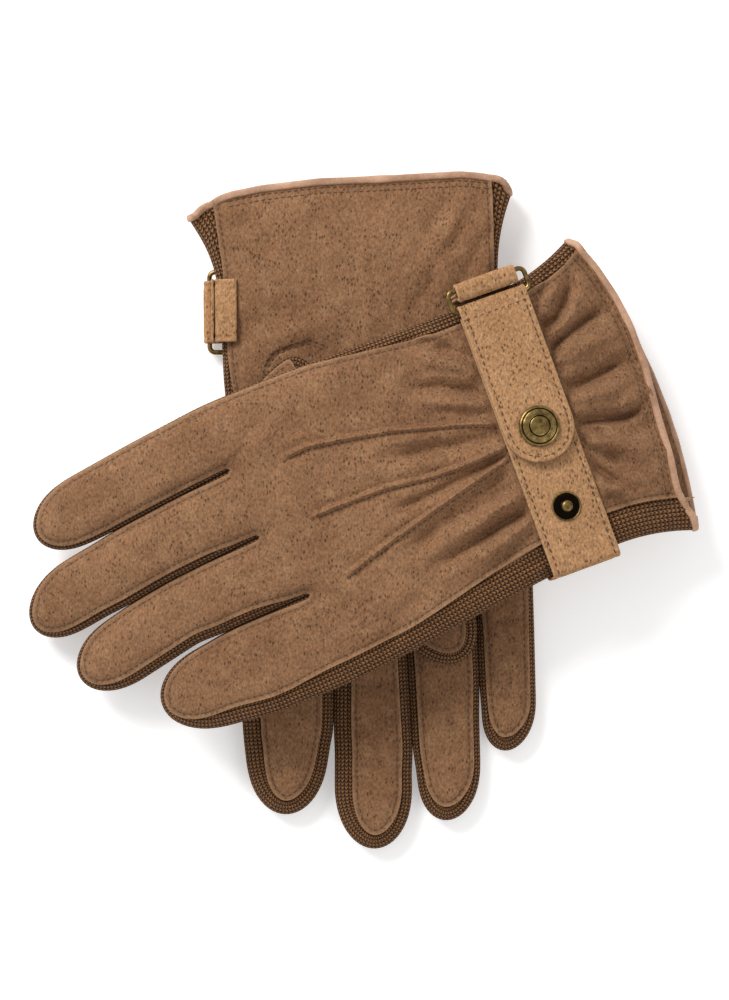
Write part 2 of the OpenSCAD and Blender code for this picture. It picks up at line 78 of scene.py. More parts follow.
# Middle and half width at the root, the knuckle and where the tip starts, the tip's x, and the length
# beyond the knuckle, for each finger of each glove
LIE = [
    [[43.7, 12.4, 41.6, 12.4, 40.0, 12.2, 38.5, 42], [18.0, 12.5, 15.6, 12.5, 12.6, 12.6, 9.5, 48],
     [-8.6, 12.4, -9.2, 12.1, -13.2, 12.6, -15.0, 47], [-39.8, 17.0, -39.2, 16.8, -38.4, 15.2, -37.8, 38]],
    [[36.8, 18.1, 38.9, 16.2, 39.6, 15.2, 41.0, 29], [5.6, 12.3, 7.6, 13.3, 9.0, 14.2, 9.5, 50],
     [-20.7, 12.6, -20.3, 12.2, -19.2, 11.6, -17.5, 53], [-45.0, 10.3, -44.2, 10.2, -43.0, 9.9, -41.0, 44]],
]
# How far each suede panel stays inside the outline: thumb side at cuff and palm, little finger's side
# at cuff and palm, fingertips, then both sides of each finger
INSETS = [
    [[5.5, 0.3, 12, 7.8, 1.5, [[0.1, 1.4], [0.2, 2.6], [0.2, 3.4], [0.3, 6.0]]],
     [3.0, 3.0, 3.0, 3.0, 3.0, [[2.6, 2.6], [2.6, 2.6], [2.6, 2.6], [2.6, 2.6]]]],
    [[3.0, 3.0, 3.0, 3.0, 3.0, [[2.6, 2.6], [2.6, 2.6], [2.6, 2.6], [2.6, 2.6]]],
     [5.0, 3.5, 4.0, 1.6, 5.3, [[6.8, 4.2], [6.4, 3.6], [2.5, 2.2], [2.2, 2.0]]]],
]
# The right palm's suede stays further inside at the flared corners of the cuff: places along the glove,
# and how far inside, for the thumb side and the little finger's side
CORNERS = [
    ([0, 5.5, 14, 29, 52, 66, 105], [11.5, 8, 4.2, 1.8, 1.8, 3.2, 3.5]),
    ([0, 5, 12, 23, 60, 105], [8, 5.6, 3, 1.2, 1.6, 1.6]),
]
snap_top = 7.0           # the right glove's strap and cap, under it, hold its wrist this far up
# Height of the back along each glove: over the other glove for the left one, and face down for the right
PROFILE = [
    [(-11, crest - 18.2), (19, crest - 6.2), (60, crest), (172, crest), (240, 13.5), (320, 13.5)],
    [(-11, 2 - snap_top), (19, -snap_top), (60, -snap_top), (78, 0), (320, 0)],
]


def fork_y(i):
    return hand_length - (set_back if i == 3 else 0)


def tip_y(i):
    return hand_length + finger_lengths[i]


def knuckle_y(h, i):
    return tip_y(i) - LIE[h][i][7]


print("index finger's knuckles at", knuckle_y(LEFT, 0), "and", knuckle_y(RIGHT, 0), "mm")

# %% [markdown]
# ## Placing a glove
# A glove is worked out flat, thumb side towards +x and fingers towards +y, with the back of the hand
# up. `place` then turns it into the shared frame. The right glove lies palm up, so its z runs the other
# way, and its faces are turned over to keep pointing outwards.

# %% Placing and draping
TURNS = [math.radians(114), math.radians(184.3)]
PLACES = [(98.2, 47.0), (-3.4, 113.3)]


def place(h, points):
    """Points in a glove's own frame, in mm, to points in the shared frame, in metres."""
    p = np.asarray(points, float).reshape(-1, 3)
    c, s = math.cos(TURNS[h]), math.sin(TURNS[h])
    z = p[:, 2] if h == LEFT else -p[:, 2]
    return np.stack([c * p[:, 0] - s * p[:, 1] + PLACES[h][0],
                     s * p[:, 0] + c * p[:, 1] + PLACES[h][1], z], 1) / 1000


def turn_normals(h, normals):
    """Directions in a glove's own frame to the shared frame."""
    c, s = math.cos(TURNS[h]), math.sin(TURNS[h])
    n = np.asarray(normals, float)
    return np.stack([c * n[:, 0] - s * n[:, 1], s * n[:, 0] + c * n[:, 1],
                     n[:, 2] if h == LEFT else -n[:, 2]], 1)


def back_z(h, y):
    """Height of the back of the hand, with the profile's bends eased."""
    ys, zs = [q[0] for q in PROFILE[h]], [q[1] for q in PROFILE[h]]
    shifts = np.linspace(-8, 8, 9)
    weights = 1 + np.cos(shifts / 9 * math.pi)
    total = sum(w * np.interp(np.asarray(y, float) + s, ys, zs) for s, w in zip(shifts, weights))
    return total / weights.sum()


def make_mesh(name, verts, faces, flip=False):
    """A smooth mesh object from points in metres. `flip` turns every face over."""
    mesh = bpy.data.meshes.new(name)
    if flip:
        faces = [f[::-1] for f in faces]
    mesh.from_pydata([tuple(v) for v in verts], [], [tuple(int(k) for k in f) for f in faces])
    mesh.polygons.foreach_set("use_smooth", [True] * len(mesh.polygons))
    mesh.update()
    obj = bpy.data.objects.new(name, mesh)
    bpy.context.scene.collection.objects.link(obj)
    return obj


def mark(obj, name, values):
    """Gives each vertex a number that the materials read."""
    obj.data.attributes.new(name, "FLOAT", "POINT").data.foreach_set("value", values.astype(np.float32))


# %% [markdown]
# ## The outline of an empty glove
# All the soft pieces follow one line: up the thumb side of the hand, round every finger, and down the
# little finger's side. Suede and knit meet at a distance inside this line that changes along it, wide
# where the knit shows and narrow where the suede rolls over the edge.

# %% The outline
def ease(t):
    """Runs smoothly from 0 to 1 as t does."""
    return (1 - math.cos(math.pi * max(0.0, min(1.0, t)))) / 2


def hand_edge(h, s, y):
    """Half width of the hand on side s (1 is the thumb's) at y, from the flared cuff to the fingers."""
    r = LIE[h][0 if s > 0 else 3]
    root = s * r[0] + r[1]
    if y < wrist_y:
        return wrist_half + (cuff_half - wrist_half) * (1 - max(0, y) / wrist_y) ** 2
    return wrist_half + (root - wrist_half) * ease((y - wrist_y) / (hand_length - wrist_y))


# The cut edge of each cuff along its width, on the back and on the palm
BOW = [(-58, 0), (-52, -1.9), (-42, -4.4), (-30, -6.6), (-15, -8.4), (0, -9),
       (20, -8.6), (32, -7.8), (45, -5.4), (55, -2), (58, 0)]
LOW = [(-58, -1.5), (-54, -5), (-48, -7), (-40, -8.3), (-9, -8.9), (12, -9.6),
       (33, -8.7), (45, -7.2), (50, -5.6), (55, -3), (58, 0)]
PULLED = [(-58, 0), (-52, -0.6), (-42, 0.6), (-30, -2.2), (-18, -3.8), (-7, -5.4),
          (5, -7.6), (20, -8.4), (32, -7.8), (45, -5.4), (55, -2), (58, 0)]
HEMS = [[PULLED, BOW], [LOW, LOW]]


def hem_y(h, side, x):
    """Where the cuff's cut edge lies at x."""
    return np.interp(np.asarray(x, float), [q[0] for q in HEMS[h][side]], [q[1] for q in HEMS[h][side]])


def finger_edge(h, i, s, y):
    """The x of a finger's edge on side s at y, if it lay alone."""
    r = LIE[h][i]
    places = [fork_y(i), knuckle_y(h, i), tip_y(i) - r[5] * 1.5]
    return float(np.interp(y, places, [r[0] + s * r[1], r[2] + s * r[3], r[4] + s * r[5]]))


def drawn_together(h, i, s, y):
    """A finger's edge, moved so that neighbours lie against each other until their tips round off."""
    j = i - s
    x = finger_edge(h, i, s, y)
    if j < 0 or j > 3:
        return x
    ends = min(tip_y(k) - LIE[h][k][5] * 1.5 for k in (i, j))
    other = finger_edge(h, j, -s, y)
    half = s * (other - x) / 2
    pull = 1 - ease((y - ends + 12) / 14)
    return x + s * pull * max(0, half - 0.1)


def sideways(line):
    """Unit vectors to the left of an open line of points."""
    t = np.gradient(line, axis=0)
    t /= np.linalg.norm(t, axis=1)[:, None]
    return np.stack([-t[:, 1], t[:, 0]], 1)


def outline(h):
    """Points from the cuff's thumb corner round the fingers to its other corner, what each panel gives
    up at each, and the finger that each belongs to (-1 for the hand)."""
    points, widths, finger, held = [], [], [], []

    def add(x, y, wb, wp, f, hold=False):
        points.append((x, y)); widths.append((wb, wp)); finger.append(f); held.append(hold)

    def at_hand(s, y):
        k = 0 if s > 0 else 2
        found = [float(np.interp(y, [60, 105], INSETS[h][side][k:k + 2])) for side in (BACK, PALM)]
        if h == RIGHT:
            found[PALM] = float(np.interp(y, *CORNERS[0 if s > 0 else 1]))
        return found

    def edge_x(s, y):
        wider = 0
        if h == RIGHT and s > 0:
            wider = float(np.interp(y, [0, 5, 12, 20, 60, 80], [3.2, 2.6, 1.6, 1.2, 1.2, 0]))
        return s * (hand_edge(h, s, y) + wider)

    top = hand_length
    for y in np.arange(0, top - 1, 1.4):
        add(edge_x(1, y), y, *at_hand(1, y), -1)
    for i in range(4):
        r = LIE[h][i]
        n = [INSETS[h][side][5][i] for side in (BACK, PALM)]
        tips = [INSETS[h][side][4] for side in (BACK, PALM)]
        half = r[5]
        start_y = tip_y(i) - half * 1.5
        ky = knuckle_y(h, i)
        root_w = at_hand(1, top) if i == 0 else (1.0, 1.0)
        out_w = at_hand(-1, top) if i == 3 else (1.0, 1.0)
        for s, w, rw in ((1, 0, root_w), (-1, 1, out_w)):
            low = fork_y(3) if (i == 2 and s < 0) else fork_y(i)
            ys = np.arange(low, start_y, 1.3)
            if s < 0:
                ys = ys[::-1]
            run = []
            for y in ys:
                x = drawn_together(h, i, s, y)
                t = ease((y - low) / 22)
                run.append((x, y, *[rw[k] * (1 - t) + n[k][w] * t for k in (0, 1)], i))
            for q in run:
                add(*q)
            if s > 0:
                steps = 26
                for k in range(1, steps):
                    a = math.pi * k / steps
                    c = r[4] + (r[6] - r[4]) * math.sin(a)
                    f = math.sin(a) ** 1.3
                    side_w = [n[k2][0] * (a < math.pi / 2) + n[k2][1] * (a >= math.pi / 2) for k2 in (0, 1)]
                    add(c + half * math.cos(a), start_y + half * 1.5 * math.sin(a),
                        *[side_w[k2] * (1 - f) + tips[k2] * f for k2 in (0, 1)], i)
        if i < 3:
            y = fork_y(i + 1)
            x0, x1 = drawn_together(h, i, -1, y), drawn_together(h, i + 1, 1, y)
            for k in range(1, 4):
                a = math.pi * k / 4
                add((x0 + x1) / 2 + (x0 - x1) / 2 * math.cos(a), y - 0.9 * math.sin(a), 0.8, 0.8, i, True)
    for y in np.arange(fork_y(3) - 1, -0.1, -1.4):
        add(edge_x(-1, y), y, *at_hand(-1, y), -1)
    add(-cuff_half, 0, *at_hand(-1, 0), -1)
    p, w, free = np.array(points), np.array(widths), ~np.array(held)
    near = free.copy()
    for shift in (1, 2, -1, -2):
        near &= np.roll(free, shift)
    for _ in range(5):
        q = p.copy()
        q[1:-1] = (p[:-2] + 2 * p[1:-1] + p[2:]) / 4
        p[1:-1][near[1:-1]] = q[1:-1][near[1:-1]]
        w[1:-1] = (w[:-2] + 2 * w[1:-1] + w[2:]) / 4
    return {"p": p, "w": w, "n": sideways(p), "finger": np.array(finger), "R": 9.0, "H": height}


def thumb_outline():
    """The thumb's own line, from its outer side round its tip and back to the point of its gusset."""
    root, half = thumb_half
    start = thumb_length - half * 1.5
    points = [(float(np.interp(y, [2, start], [root, half])), y) for y in np.arange(2, start, 1.3)]
    turn = [math.pi * k / 26 for k in range(27)]
    points += [(half * math.cos(a), start + half * 1.5 * math.sin(a)) for a in turn]
    points += [(-float(np.interp(y, [2, start], [root, half])), y) for y in np.arange(start - 1.3, 2, -1.3)]
    gusset = [(-16, 2), (-15, -2.5), (-13, -6), (-11, -7.5), (-8.5, -7.8),
              (-4, -7.6), (3, -6.6), (10, -3.8), (14.5, -0.5), (15.7, 1)]
    seg = np.r_[0, np.cumsum(np.linalg.norm(np.diff(gusset, axis=0), axis=1))]
    along = np.linspace(0, seg[-1], int(seg[-1] / 1.2))
    points += [tuple(np.interp(u, seg, np.array(gusset)[:, k]) for k in (0, 1)) for u in along]
    p = np.array(points)
    for _ in range(3):
        p = (np.roll(p, 1, 0) + 2 * p + np.roll(p, -1, 0)) / 4
    w = np.full((len(p), 2), 4.0)
    sewn_in = np.clip((4 - p[:, 1]) / 8, 0, 1) * np.clip((p[:, 0] + 13) / 3, 0, 1)
    w -= 3.4 * sewn_in[:, None]
    c, s = math.cos(thumb_turn), math.sin(thumb_turn)
    p = np.stack([thumb_root[0] + c * p[:, 0] - s * p[:, 1], thumb_root[1] + s * p[:, 0] + c * p[:, 1]], 1)
    t = np.roll(p, -1, 0) - np.roll(p, 1, 0)
    t /= np.linalg.norm(t, axis=1)[:, None]
    normal = np.stack([-t[:, 1], t[:, 0]], 1)
    return {"p": p, "w": w, "n": normal, "finger": np.full(len(p), -1), "R": 7.0, "H": thumb_height}


def distance(points, line, closed=False):
    """Distance from each point to a line of points."""
    a, b = (line, np.roll(line, -1, 0)) if closed else (line[:-1], line[1:])
    out = np.full(len(points), 1e9)
    ab = b - a
    length2 = np.maximum((ab ** 2).sum(1), 1e-12)
    for k in range(0, len(points), 2000):
        q = points[k:k + 2000, None, :]
        t = np.clip(((q - a) * ab).sum(2) / length2, 0, 1)
        out[k:k + 2000] = np.sqrt((((a + t[..., None] * ab) - q) ** 2).sum(2)).min(1)
    return out


def inside(points, ring):
    """Whether each point is inside a closed ring of points."""
    x, y = points[:, 0], points[:, 1]
    out = np.zeros(len(points), bool)
    for (x0, y0), (x1, y1) in zip(ring, np.roll(ring, -1, 0)):
        hit = (y0 > y) != (y1 > y)
        if y1 != y0:
            out ^= hit & (x < (x1 - x0) * (y - y0) / (y1 - y0) + x0)
    return out


LINES = [outline(LEFT), outline(RIGHT)]
THUMB = thumb_outline()
print("outline points:", [len(o["p"]) for o in LINES], "thumb", len(THUMB["p"]))

# %% [markdown]
# ## How the suede stands
# An empty glove is a flat tube. Its height falls away in a quarter ellipse near the outline, so a panel
# rolls over its edge. On that come the details: raised tucks on the back, gathers beside the strap,
# creases across the palm and fingers, folds in the flared cuff, and a slow unevenness everywhere.

# %% Tucks, folds and gathers
TUCKS = [
    [(6.8, 52), (10.4, 59), (15.7, 74), (20.5, 88), (24.3, 103), (27.6, 118), (27.1, 127)],
    [(-2.0, 52), (-1.9, 68), (-0.6, 82), (2.4, 98), (3.1, 110), (3.8, 126)],
    [(-5.6, 52), (-8.6, 67), (-12, 84), (-15.8, 103), (-20.8, 123)],
]
# Creases as a line, a depth (negative stands proud) and a width
CREASES = {
    (LEFT, BACK): [
        ([(22.6, 24), (25.2, 19), (27.5, 13), (28.8, 6), (28.9, -2)], 3.0, 1.5),
        ([(33, 24), (33.1, 16), (37.5, 11), (44, 5)], 2.3, 1.6), ([(41, 23), (44, 17), (49, 12)], 1.6, 1.5),
        ([(8.7, 25), (7.9, 18), (8.3, 10), (9.5, 2), (8.4, -3)], 2.6, 1.6),
        ([(-3.4, 26), (-6.5, 17), (-9.6, 8), (-9.0, 3), (-6.1, -1)], 3.2, 1.5),
        ([(-5.2, 26), (-10, 19), (-14, 12)], 1.7, 1.5), ([(-12, 26), (-18.7, 21), (-25.6, 13)], 1.6, 1.6),
        ([(-7.5, 27), (-21, 25.6), (-29.2, 21), (-35, 15)], 2.0, 1.7), ([(-33, 26), (-42, 19)], 1.4, 1.5),
        ([(17.1, 22), (19.1, 10), (18.9, -3)], -2.6, 4.6), ([(2.3, 24), (1.1, 11), (-1.5, 2)], -3.4, 4.4),
        ([(-12, 22), (-18.3, 12), (-26, 4)], -2.4, 3.8), ([(28.4, 17), (34, 9), (40, 1)], -2.2, 3.2),
        ([(-28, 25), (-33, 14), (-36, 7)], -1.4, 3.4), ([(37.5, 21), (43, 11)], -1.6, 2.6),
        ([(32, 51), (37.8, 56), (43, 62), (47, 70)], 1.7, 1.9), ([(25.5, 52), (31, 60), (36, 71)], 1.1, 1.8),
        ([(17.8, 51), (22, 56), (27, 64), (32, 76)], 2.0, 2.0), ([(11.5, 52), (15, 59), (21, 72)], 1.3, 1.7),
        ([(2.6, 52), (4.6, 62), (8.6, 78), (11, 92)], 2.2, 2.3),
        ([(-3.9, 52), (-5.2, 64), (-6.4, 80), (-6.5, 98)], 1.8, 1.5),
        ([(-10, 52), (-12.5, 64), (-17, 82), (-22, 98)], 2.3, 2.2), ([(-15.8, 53), (-16.5, 66), (-20, 80)], 1.5, 1.8),
        ([(-26.1, 53), (-26.8, 64), (-29, 80), (-31, 92)], 2.2, 1.9), ([(-34, 55), (-36, 64), (-40, 74)], 1.4, 1.8),
        ([(-20.5, 54), (-22, 66), (-25, 78)], -1.8, 2.3), ([(-31, 55), (-33, 66), (-36, 78)], -1.5, 2.4),
        ([(14, 53), (18.5, 62), (24, 74)], -1.5, 2.4), ([(28, 53), (34, 62), (40, 70)], -1.4, 2.4),
        ([(20, 133), (34, 128), (48, 131)], 0.7, 3.4), ([(-40, 128), (-26, 124), (-10, 128)], 0.6, 3.0),
        ([(4, 142), (8, 138), (14, 135)], 0.5, 1.2), ([(30, 165), (42, 162), (53, 166)], 0.6, 2.6),
        ([(4, 172), (16, 169), (28, 172)], 0.6, 2.8), ([(-22, 168), (-10, 165), (2, 168)], 0.6, 2.6),
        ([(-52, 160), (-40, 157), (-26, 160)], 0.7, 2.6), ([(-50, 120), (-42, 112), (-38, 98)], 0.7, 2.6),
        ([(32, 146), (36, 139), (42, 133)], 0.8, 1.6), ([(-21.5, 138), (-25, 131), (-30, 126)], 0.7, 1.6),
    ],
    (RIGHT, PALM): [
        ([(-46, 2), (-38, 14), (-28, 24), (-22, 40)], 1.2, 3.0), ([(-48, 14), (-40, 26), (-34, 42)], 1.0, 2.6),
        ([(-36, 0), (-28, 10), (-20, 22)], 1.0, 2.8), ([(-24, 2), (-18, 12), (-8, 24)], 0.6, 3.0),
        ([(-40, 6), (-32, 18), (-26, 32)], -1.1, 3.6), ([(46, 8), (40, 3), (30, 0)], 0.5, 2.4),
        ([(36, 50), (26, 46), (16, 46)], -1.3, 4.4), ([(46, 44), (34, 38), (20, 38)], 0.5, 3.2),
        ([(36.7, 62), (35.5, 57), (32.7, 53), (27.5, 51.4), (20, 50)], 0.9, 0.9),
        ([(-52, 120), (-30, 126), (-8, 122), (16, 128), (44, 124)], 0.6, 2.4),
        ([(24, 172), (38, 169), (52, 173)], 0.7, 2.6), ([(-4, 176), (8, 173), (20, 177)], 0.7, 2.6),
        ([(-32, 168), (-20, 165), (-9, 168)], 0.7, 2.4), ([(-54, 158), (-45, 155), (-36, 158)], 0.7, 2.4),
        ([(26, 204), (39, 201), (52, 205)], 0.6, 2.4), ([(-2, 210), (9, 207), (22, 211)], 0.6, 2.4),
        ([(-30, 206), (-19, 203), (-8, 207)], 0.6, 2.4), ([(-52, 186), (-43, 183), (-34, 187)], 0.6, 2.0),
    ],
}


def strap_line(x):
    return strap_y + math.tan(strap_tilt) * x


def covered(points):
    """1 where the left glove or the folded thumb lies on the right palm, and 0 well outside them."""
    world = place(RIGHT, np.column_stack([points, np.zeros(len(points))])) * 1000
    c, s = math.cos(TURNS[LEFT]), math.sin(TURNS[LEFT])
    d = world[:, :2] - np.array(PLACES[LEFT])
    there = np.stack([c * d[:, 0] + s * d[:, 1], -s * d[:, 0] + c * d[:, 1]], 1)
    out = np.zeros(len(points))
    for q, ring in ((there, LINES[LEFT]["p"]), (points, THUMB["p"])):
        far = distance(q, ring)
        far[inside(q, ring)] = 0
        out = np.maximum(out, np.clip(1 - far / 7, 0, 1))
    return out


def relief(h, side, points, hand=True):
    """How far the suede stands out beyond the plain tube, in mm."""
    x, y = points[:, 0], points[:, 1]
    out = np.array([0.8 * noise.fractal(Vector((a / 21, b / 25, 4.7 * h + 9.1 * side)), 0.8, 2.1, 3)
                    + 0.3 * noise.noise(Vector((a / 6.5, b / 7.5, 3.1 + 8 * h + side)))
                    + 0.11 * noise.noise(Vector((a / 2.1, b / 2.4, 1.3 + 5 * h + side))) for a, b in points])
    if not hand:
        return 0.4 * out
    if (h, side) == (RIGHT, PALM):
        out *= 0.75
    # gathers run along the hand and fade away from the strap
    middle = strap_line(x)
    gather = np.array([noise.noise(Vector((a / 4.2, b / 24, 17 + 3 * h + side))) for a, b in points])
    reach = np.where(y > middle, np.exp(-np.maximum(y - middle - 14, 0) / 15),
                     np.exp(-np.maximum(middle - 14 - y, 0) / 26))
    out += (2.0 if (h, side) == (LEFT, BACK) else 0.7) * gather * reach
    wide = np.array([noise.noise(Vector((a / 11, b / 40, 31 + 3 * h + side))) for a, b in points])
    out += (1.6 if h == LEFT else 0.9) * wide * np.clip((20 - y) / 24, 0, 1)
    # the hem's seam sinks into a channel between the puffed suede and the binding
    if side == BACK or h == RIGHT:
        out -= (1.6 if h == LEFT else 0.6) * np.exp(-((y - hem_y(h, side, x) - 3.6) / 1.7) ** 2)
    for line, depth, width in CREASES.get((h, side), []):
        line = np.array(line, float)
        d = distance(points, line)
        ends = np.minimum(1, (np.linalg.norm(points - line[0], axis=1) + 3) / 9)
        far = np.minimum(1, (np.linalg.norm(points - line[-1], axis=1) + 1) / 8)
        deep = depth * (1.25 if depth > 1.2 else 1.0)
        out -= deep * np.exp(-(d / width) ** 2) * ends * far
        out += 0.4 * deep * np.exp(-((d - 2.3 * width) / (1.3 * width)) ** 2) * far
    if side == BACK:
        under = np.clip((15.5 - np.abs(y - middle)) / 3, 0, 1)
        out = out * (1 - 0.9 * under) - 0.45 * under
        for line in TUCKS:
            line = np.array(line, float)
            d = distance(points, line)
            end = np.clip(np.linalg.norm(points - line[-1], axis=1) / 3, 0, 1)
            out += end * (1 - under) * (1.3 * np.exp(-(d / 0.8) ** 4) - 0.6 * np.exp(-((d - 1.7) / 0.8) ** 2))
    if (h, side) == (RIGHT, PALM):
        out *= 1 - 0.8 * covered(points)
    return out * (1 if (h, side) in ((LEFT, BACK), (RIGHT, PALM)) else 0.3)


def thumb_mid(points):
    """How deep the thumb's middle lies below the back, less at the root, where it is sewn in."""
    rel = np.asarray(points)[..., :2] - np.array(thumb_root)
    along = -math.sin(thumb_turn) * rel[..., 0] + math.cos(thumb_turn) * rel[..., 1]
    t = np.clip((along + 9) / 22, 0, 1)
    return height + clear + thumb_height / 2 - 3.3 * (1 - t * t * (3 - 2 * t))


def depth(mid, points):
    return mid(points) if callable(mid) else mid


def surface(h, side, line, points, depth_mid, inset=None, hand=True):
    """Height of a panel at each point, in the glove's own frame."""
    d = distance(points, line["p"])
    lift = line["H"] / 2 * np.sqrt(np.maximum(0, 1 - (1 - np.clip(d / line["R"], 0, 1)) ** 2))
    lift = lift + relief(h, side, points, hand) * np.clip(d / 3, 0, 1)
    if inset is not None:
        lift = lift - 0.3 * np.exp(-((inset - 1.7) / 0.7) ** 2) + 0.25 * np.exp(-(inset / 0.8) ** 2)
    z = back_z(h, points[:, 1]) - depth(depth_mid, points) + (lift if side == BACK else -lift)
    if h == RIGHT and side == BACK:
        z = np.minimum(z, np.interp(points[:, 1], [64, 74], [99, 0.0]))
    return z


# %% [markdown]
# ## A suede panel
# The panel is a fan of points laid out flat: rows beside its cut edge, where the stitching dents it, a
# finer set along each tuck and crease, and a plain grid elsewhere. A constrained triangulation joins
# them. The fingertips are separate bodies that bend, so each panel is divided at a line before the
# knuckle. Both sides keep the normals of the whole panel, so that no seam shows there.

# %% Panels of suede
SPLIT = 9.0              # the division lies this far before the knuckle


def finger_axis(h, i):
    """A finger's knuckle, and the direction from there to its tip."""
    r = LIE[h][i]
    ky = knuckle_y(h, i)
    a = np.array([r[6] - r[2], tip_y(i) - ky])
    return np.array([r[2], ky]), a / np.linalg.norm(a)


def owner(h, points):
    """The finger whose tip each point belongs to, or -1 for the hand."""
    out = np.full(len(points), -1)
    for i in range(4):
        at, a = finger_axis(h, i)
        rel = points - at
        along = rel @ a
        across = np.abs(rel @ np.array([-a[1], a[0]]))
        out[(along > -SPLIT) & (across < LIE[h][i][3] + 1.6)] = i
    return out


def panel(h, side, line, depth_mid, grid, name, hand=True):
    """Makes one suede panel and returns {-1: hand or thumb piece, i: fingertip piece}."""
    p, n = line["p"], line["n"]
    w = line["w"][:, side]
    edge = p + n * w[:, None]
    features = [np.array(c[0], float) for c in CREASES.get((h, side), [])] if hand else []
    if hand:
        xs = np.linspace(edge[-1][0], edge[0][0], 70)
        hem = np.stack([xs, hem_y(h, side, xs)], 1)
        ring = np.vstack([edge, hem])
        keep = np.ones(len(ring), bool)
        keep[len(edge)] = keep[-1] = False
        ring[0, 1], ring[len(edge) - 1, 1] = hem_y(h, side, edge[0][0]), hem_y(h, side, edge[-1][0])
        ring = ring[keep]
        if side == BACK:
            features += [np.array(t, float) for t in TUCKS]
    else:
        ring = edge
    rows = []
    for k, off in enumerate((0.45, 1.0, 1.7, 2.4, 3.3, 4.5)):
        step = 1 if k < 4 else 2
        rows.append((p + n * (w + off)[:, None])[::step])
        if hand:
            rows.append(np.stack([xs, hem_y(h, side, xs) + off], 1)[::step])
    rows = np.vstack(rows)
    offs = distance(rows, ring, True)
    rows = rows[(offs > 0.35) & (offs < 4.7) & inside(rows, ring)]
    lo, hi = ring.min(0), ring.max(0)
    gx, gy = np.meshgrid(np.arange(lo[0], hi[0], grid), np.arange(lo[1], hi[1], grid * 0.866))
    gx[1::2] += grid / 2
    cells = np.stack([gx.ravel(), gy.ravel()], 1)
    cells += np.array([[rand.uniform(-0.15, 0.15) * grid for _ in (0, 1)] for _ in cells])
    cells = cells[inside(cells, ring)]
    cells = cells[distance(cells, ring, True) > 5.1]
    fine = []
    for f in features:
        cells = cells[distance(cells, f) > 2.3]
        seg = np.linalg.norm(np.diff(f, axis=0), axis=1)
        s = np.r_[0, np.cumsum(seg)]
        u = np.arange(0, s[-1], 1.15)
        at = np.stack([np.interp(u, s, f[:, 0]), np.interp(u, s, f[:, 1])], 1)
        for off in (-1.75, -1.2, -0.8, -0.4, 0, 0.4, 0.8, 1.2, 1.75):
            fine.append(at + off * sideways(at))
    if fine:
        fine = np.vstack(fine)
        fine = fine[inside(fine, ring)]
        fine = fine[distance(fine, ring, True) > 4.6]
        cells = np.vstack([cells, fine])
    points = np.vstack([ring, rows, cells])
    edges = []
    if hand:
        extra = []
        for i in range(4):
            at, a = finger_axis(h, i)
            side_way = np.array([-a[1], a[0]])
            half = LIE[h][i][3] + 1.4
            base = len(points) + len(extra)
            cut = [at - a * SPLIT + side_way * s for s in np.linspace(-half, half, 30)]
            extra += cut
            edges += [(base + k, base + k + 1) for k in range(29)]
        cut = np.array(extra)
        near = distance(points[len(ring):], cut[:30]) < 0.5
        for i in range(1, 4):
            near |= distance(points[len(ring):], cut[30 * i:30 * i + 30]) < 0.5
        drop = np.r_[np.zeros(len(ring), bool), near]
        kept = points[~drop]
        edges = [(a - drop.sum(), b - drop.sum()) for a, b in edges]
        points = np.vstack([kept, cut])
    flat = [Vector((float(x), float(y))) for x, y in points]
    verts, _, faces, *_ = delaunay_2d_cdt(flat, [(int(a), int(b)) for a, b in edges],
                                          [list(range(len(ring)))], 1, 1e-4)
    xy = np.array([tuple(v) for v in verts])
    faces = np.array([f for f in faces if len(f) == 3])
    a, b, c = xy[faces[:, 0]], xy[faces[:, 1]], xy[faces[:, 2]]
    area = (b[:, 0] - a[:, 0]) * (c[:, 1] - a[:, 1]) - (b[:, 1] - a[:, 1]) * (c[:, 0] - a[:, 0])
    faces = faces[np.abs(area) > 1e-4]
    area = area[np.abs(area) > 1e-4]
    faces[area < 0] = faces[area < 0][:, ::-1]
    faces = faces[inside(xy[faces].mean(1), ring)]
    mid = xy[faces].mean(1)
    inset = distance(xy, ring, True)
    z = surface(h, side, line, xy, depth_mid, inset, hand)
    top = np.column_stack([xy, z])
    tri = top[faces]
    fn = np.cross(tri[:, 1] - tri[:, 0], tri[:, 2] - tri[:, 0])
    vn = np.zeros_like(top)
    for k in range(3):
        np.add.at(vn, faces[:, k], fn)
    vn /= np.maximum(np.linalg.norm(vn, axis=1), 1e-9)[:, None]
    out = 1 if side == BACK else -1
    normal = vn * out
    under = top - normal * leather
    groups = owner(h, mid) if hand else np.full(len(faces), -1)
    pieces = {}
    for g in sorted(set(groups)):
        f = faces[groups == g]
        used = np.unique(f)
        index = -np.ones(len(top), int)
        index[used] = np.arange(len(used))
        f = index[f]
        m = len(used)
        up = f if out > 0 else f[:, ::-1]
        down = up[:, ::-1] + m
        pairs = {}
        for t in up:
            for q in range(3):
                e = (int(t[q]), int(t[(q + 1) % 3]))
                pairs[e] = 1
        rim = [e for e in pairs if (e[1], e[0]) not in pairs]
        wall = [(e[1], e[0], e[0] + m, e[1] + m) for e in rim]
        label = name(g)
        obj = make_mesh(label, place(h, np.vstack([top[used], under[used]])),
                        [tuple(t) for t in up] + [tuple(t) for t in down] + wall, h == RIGHT)
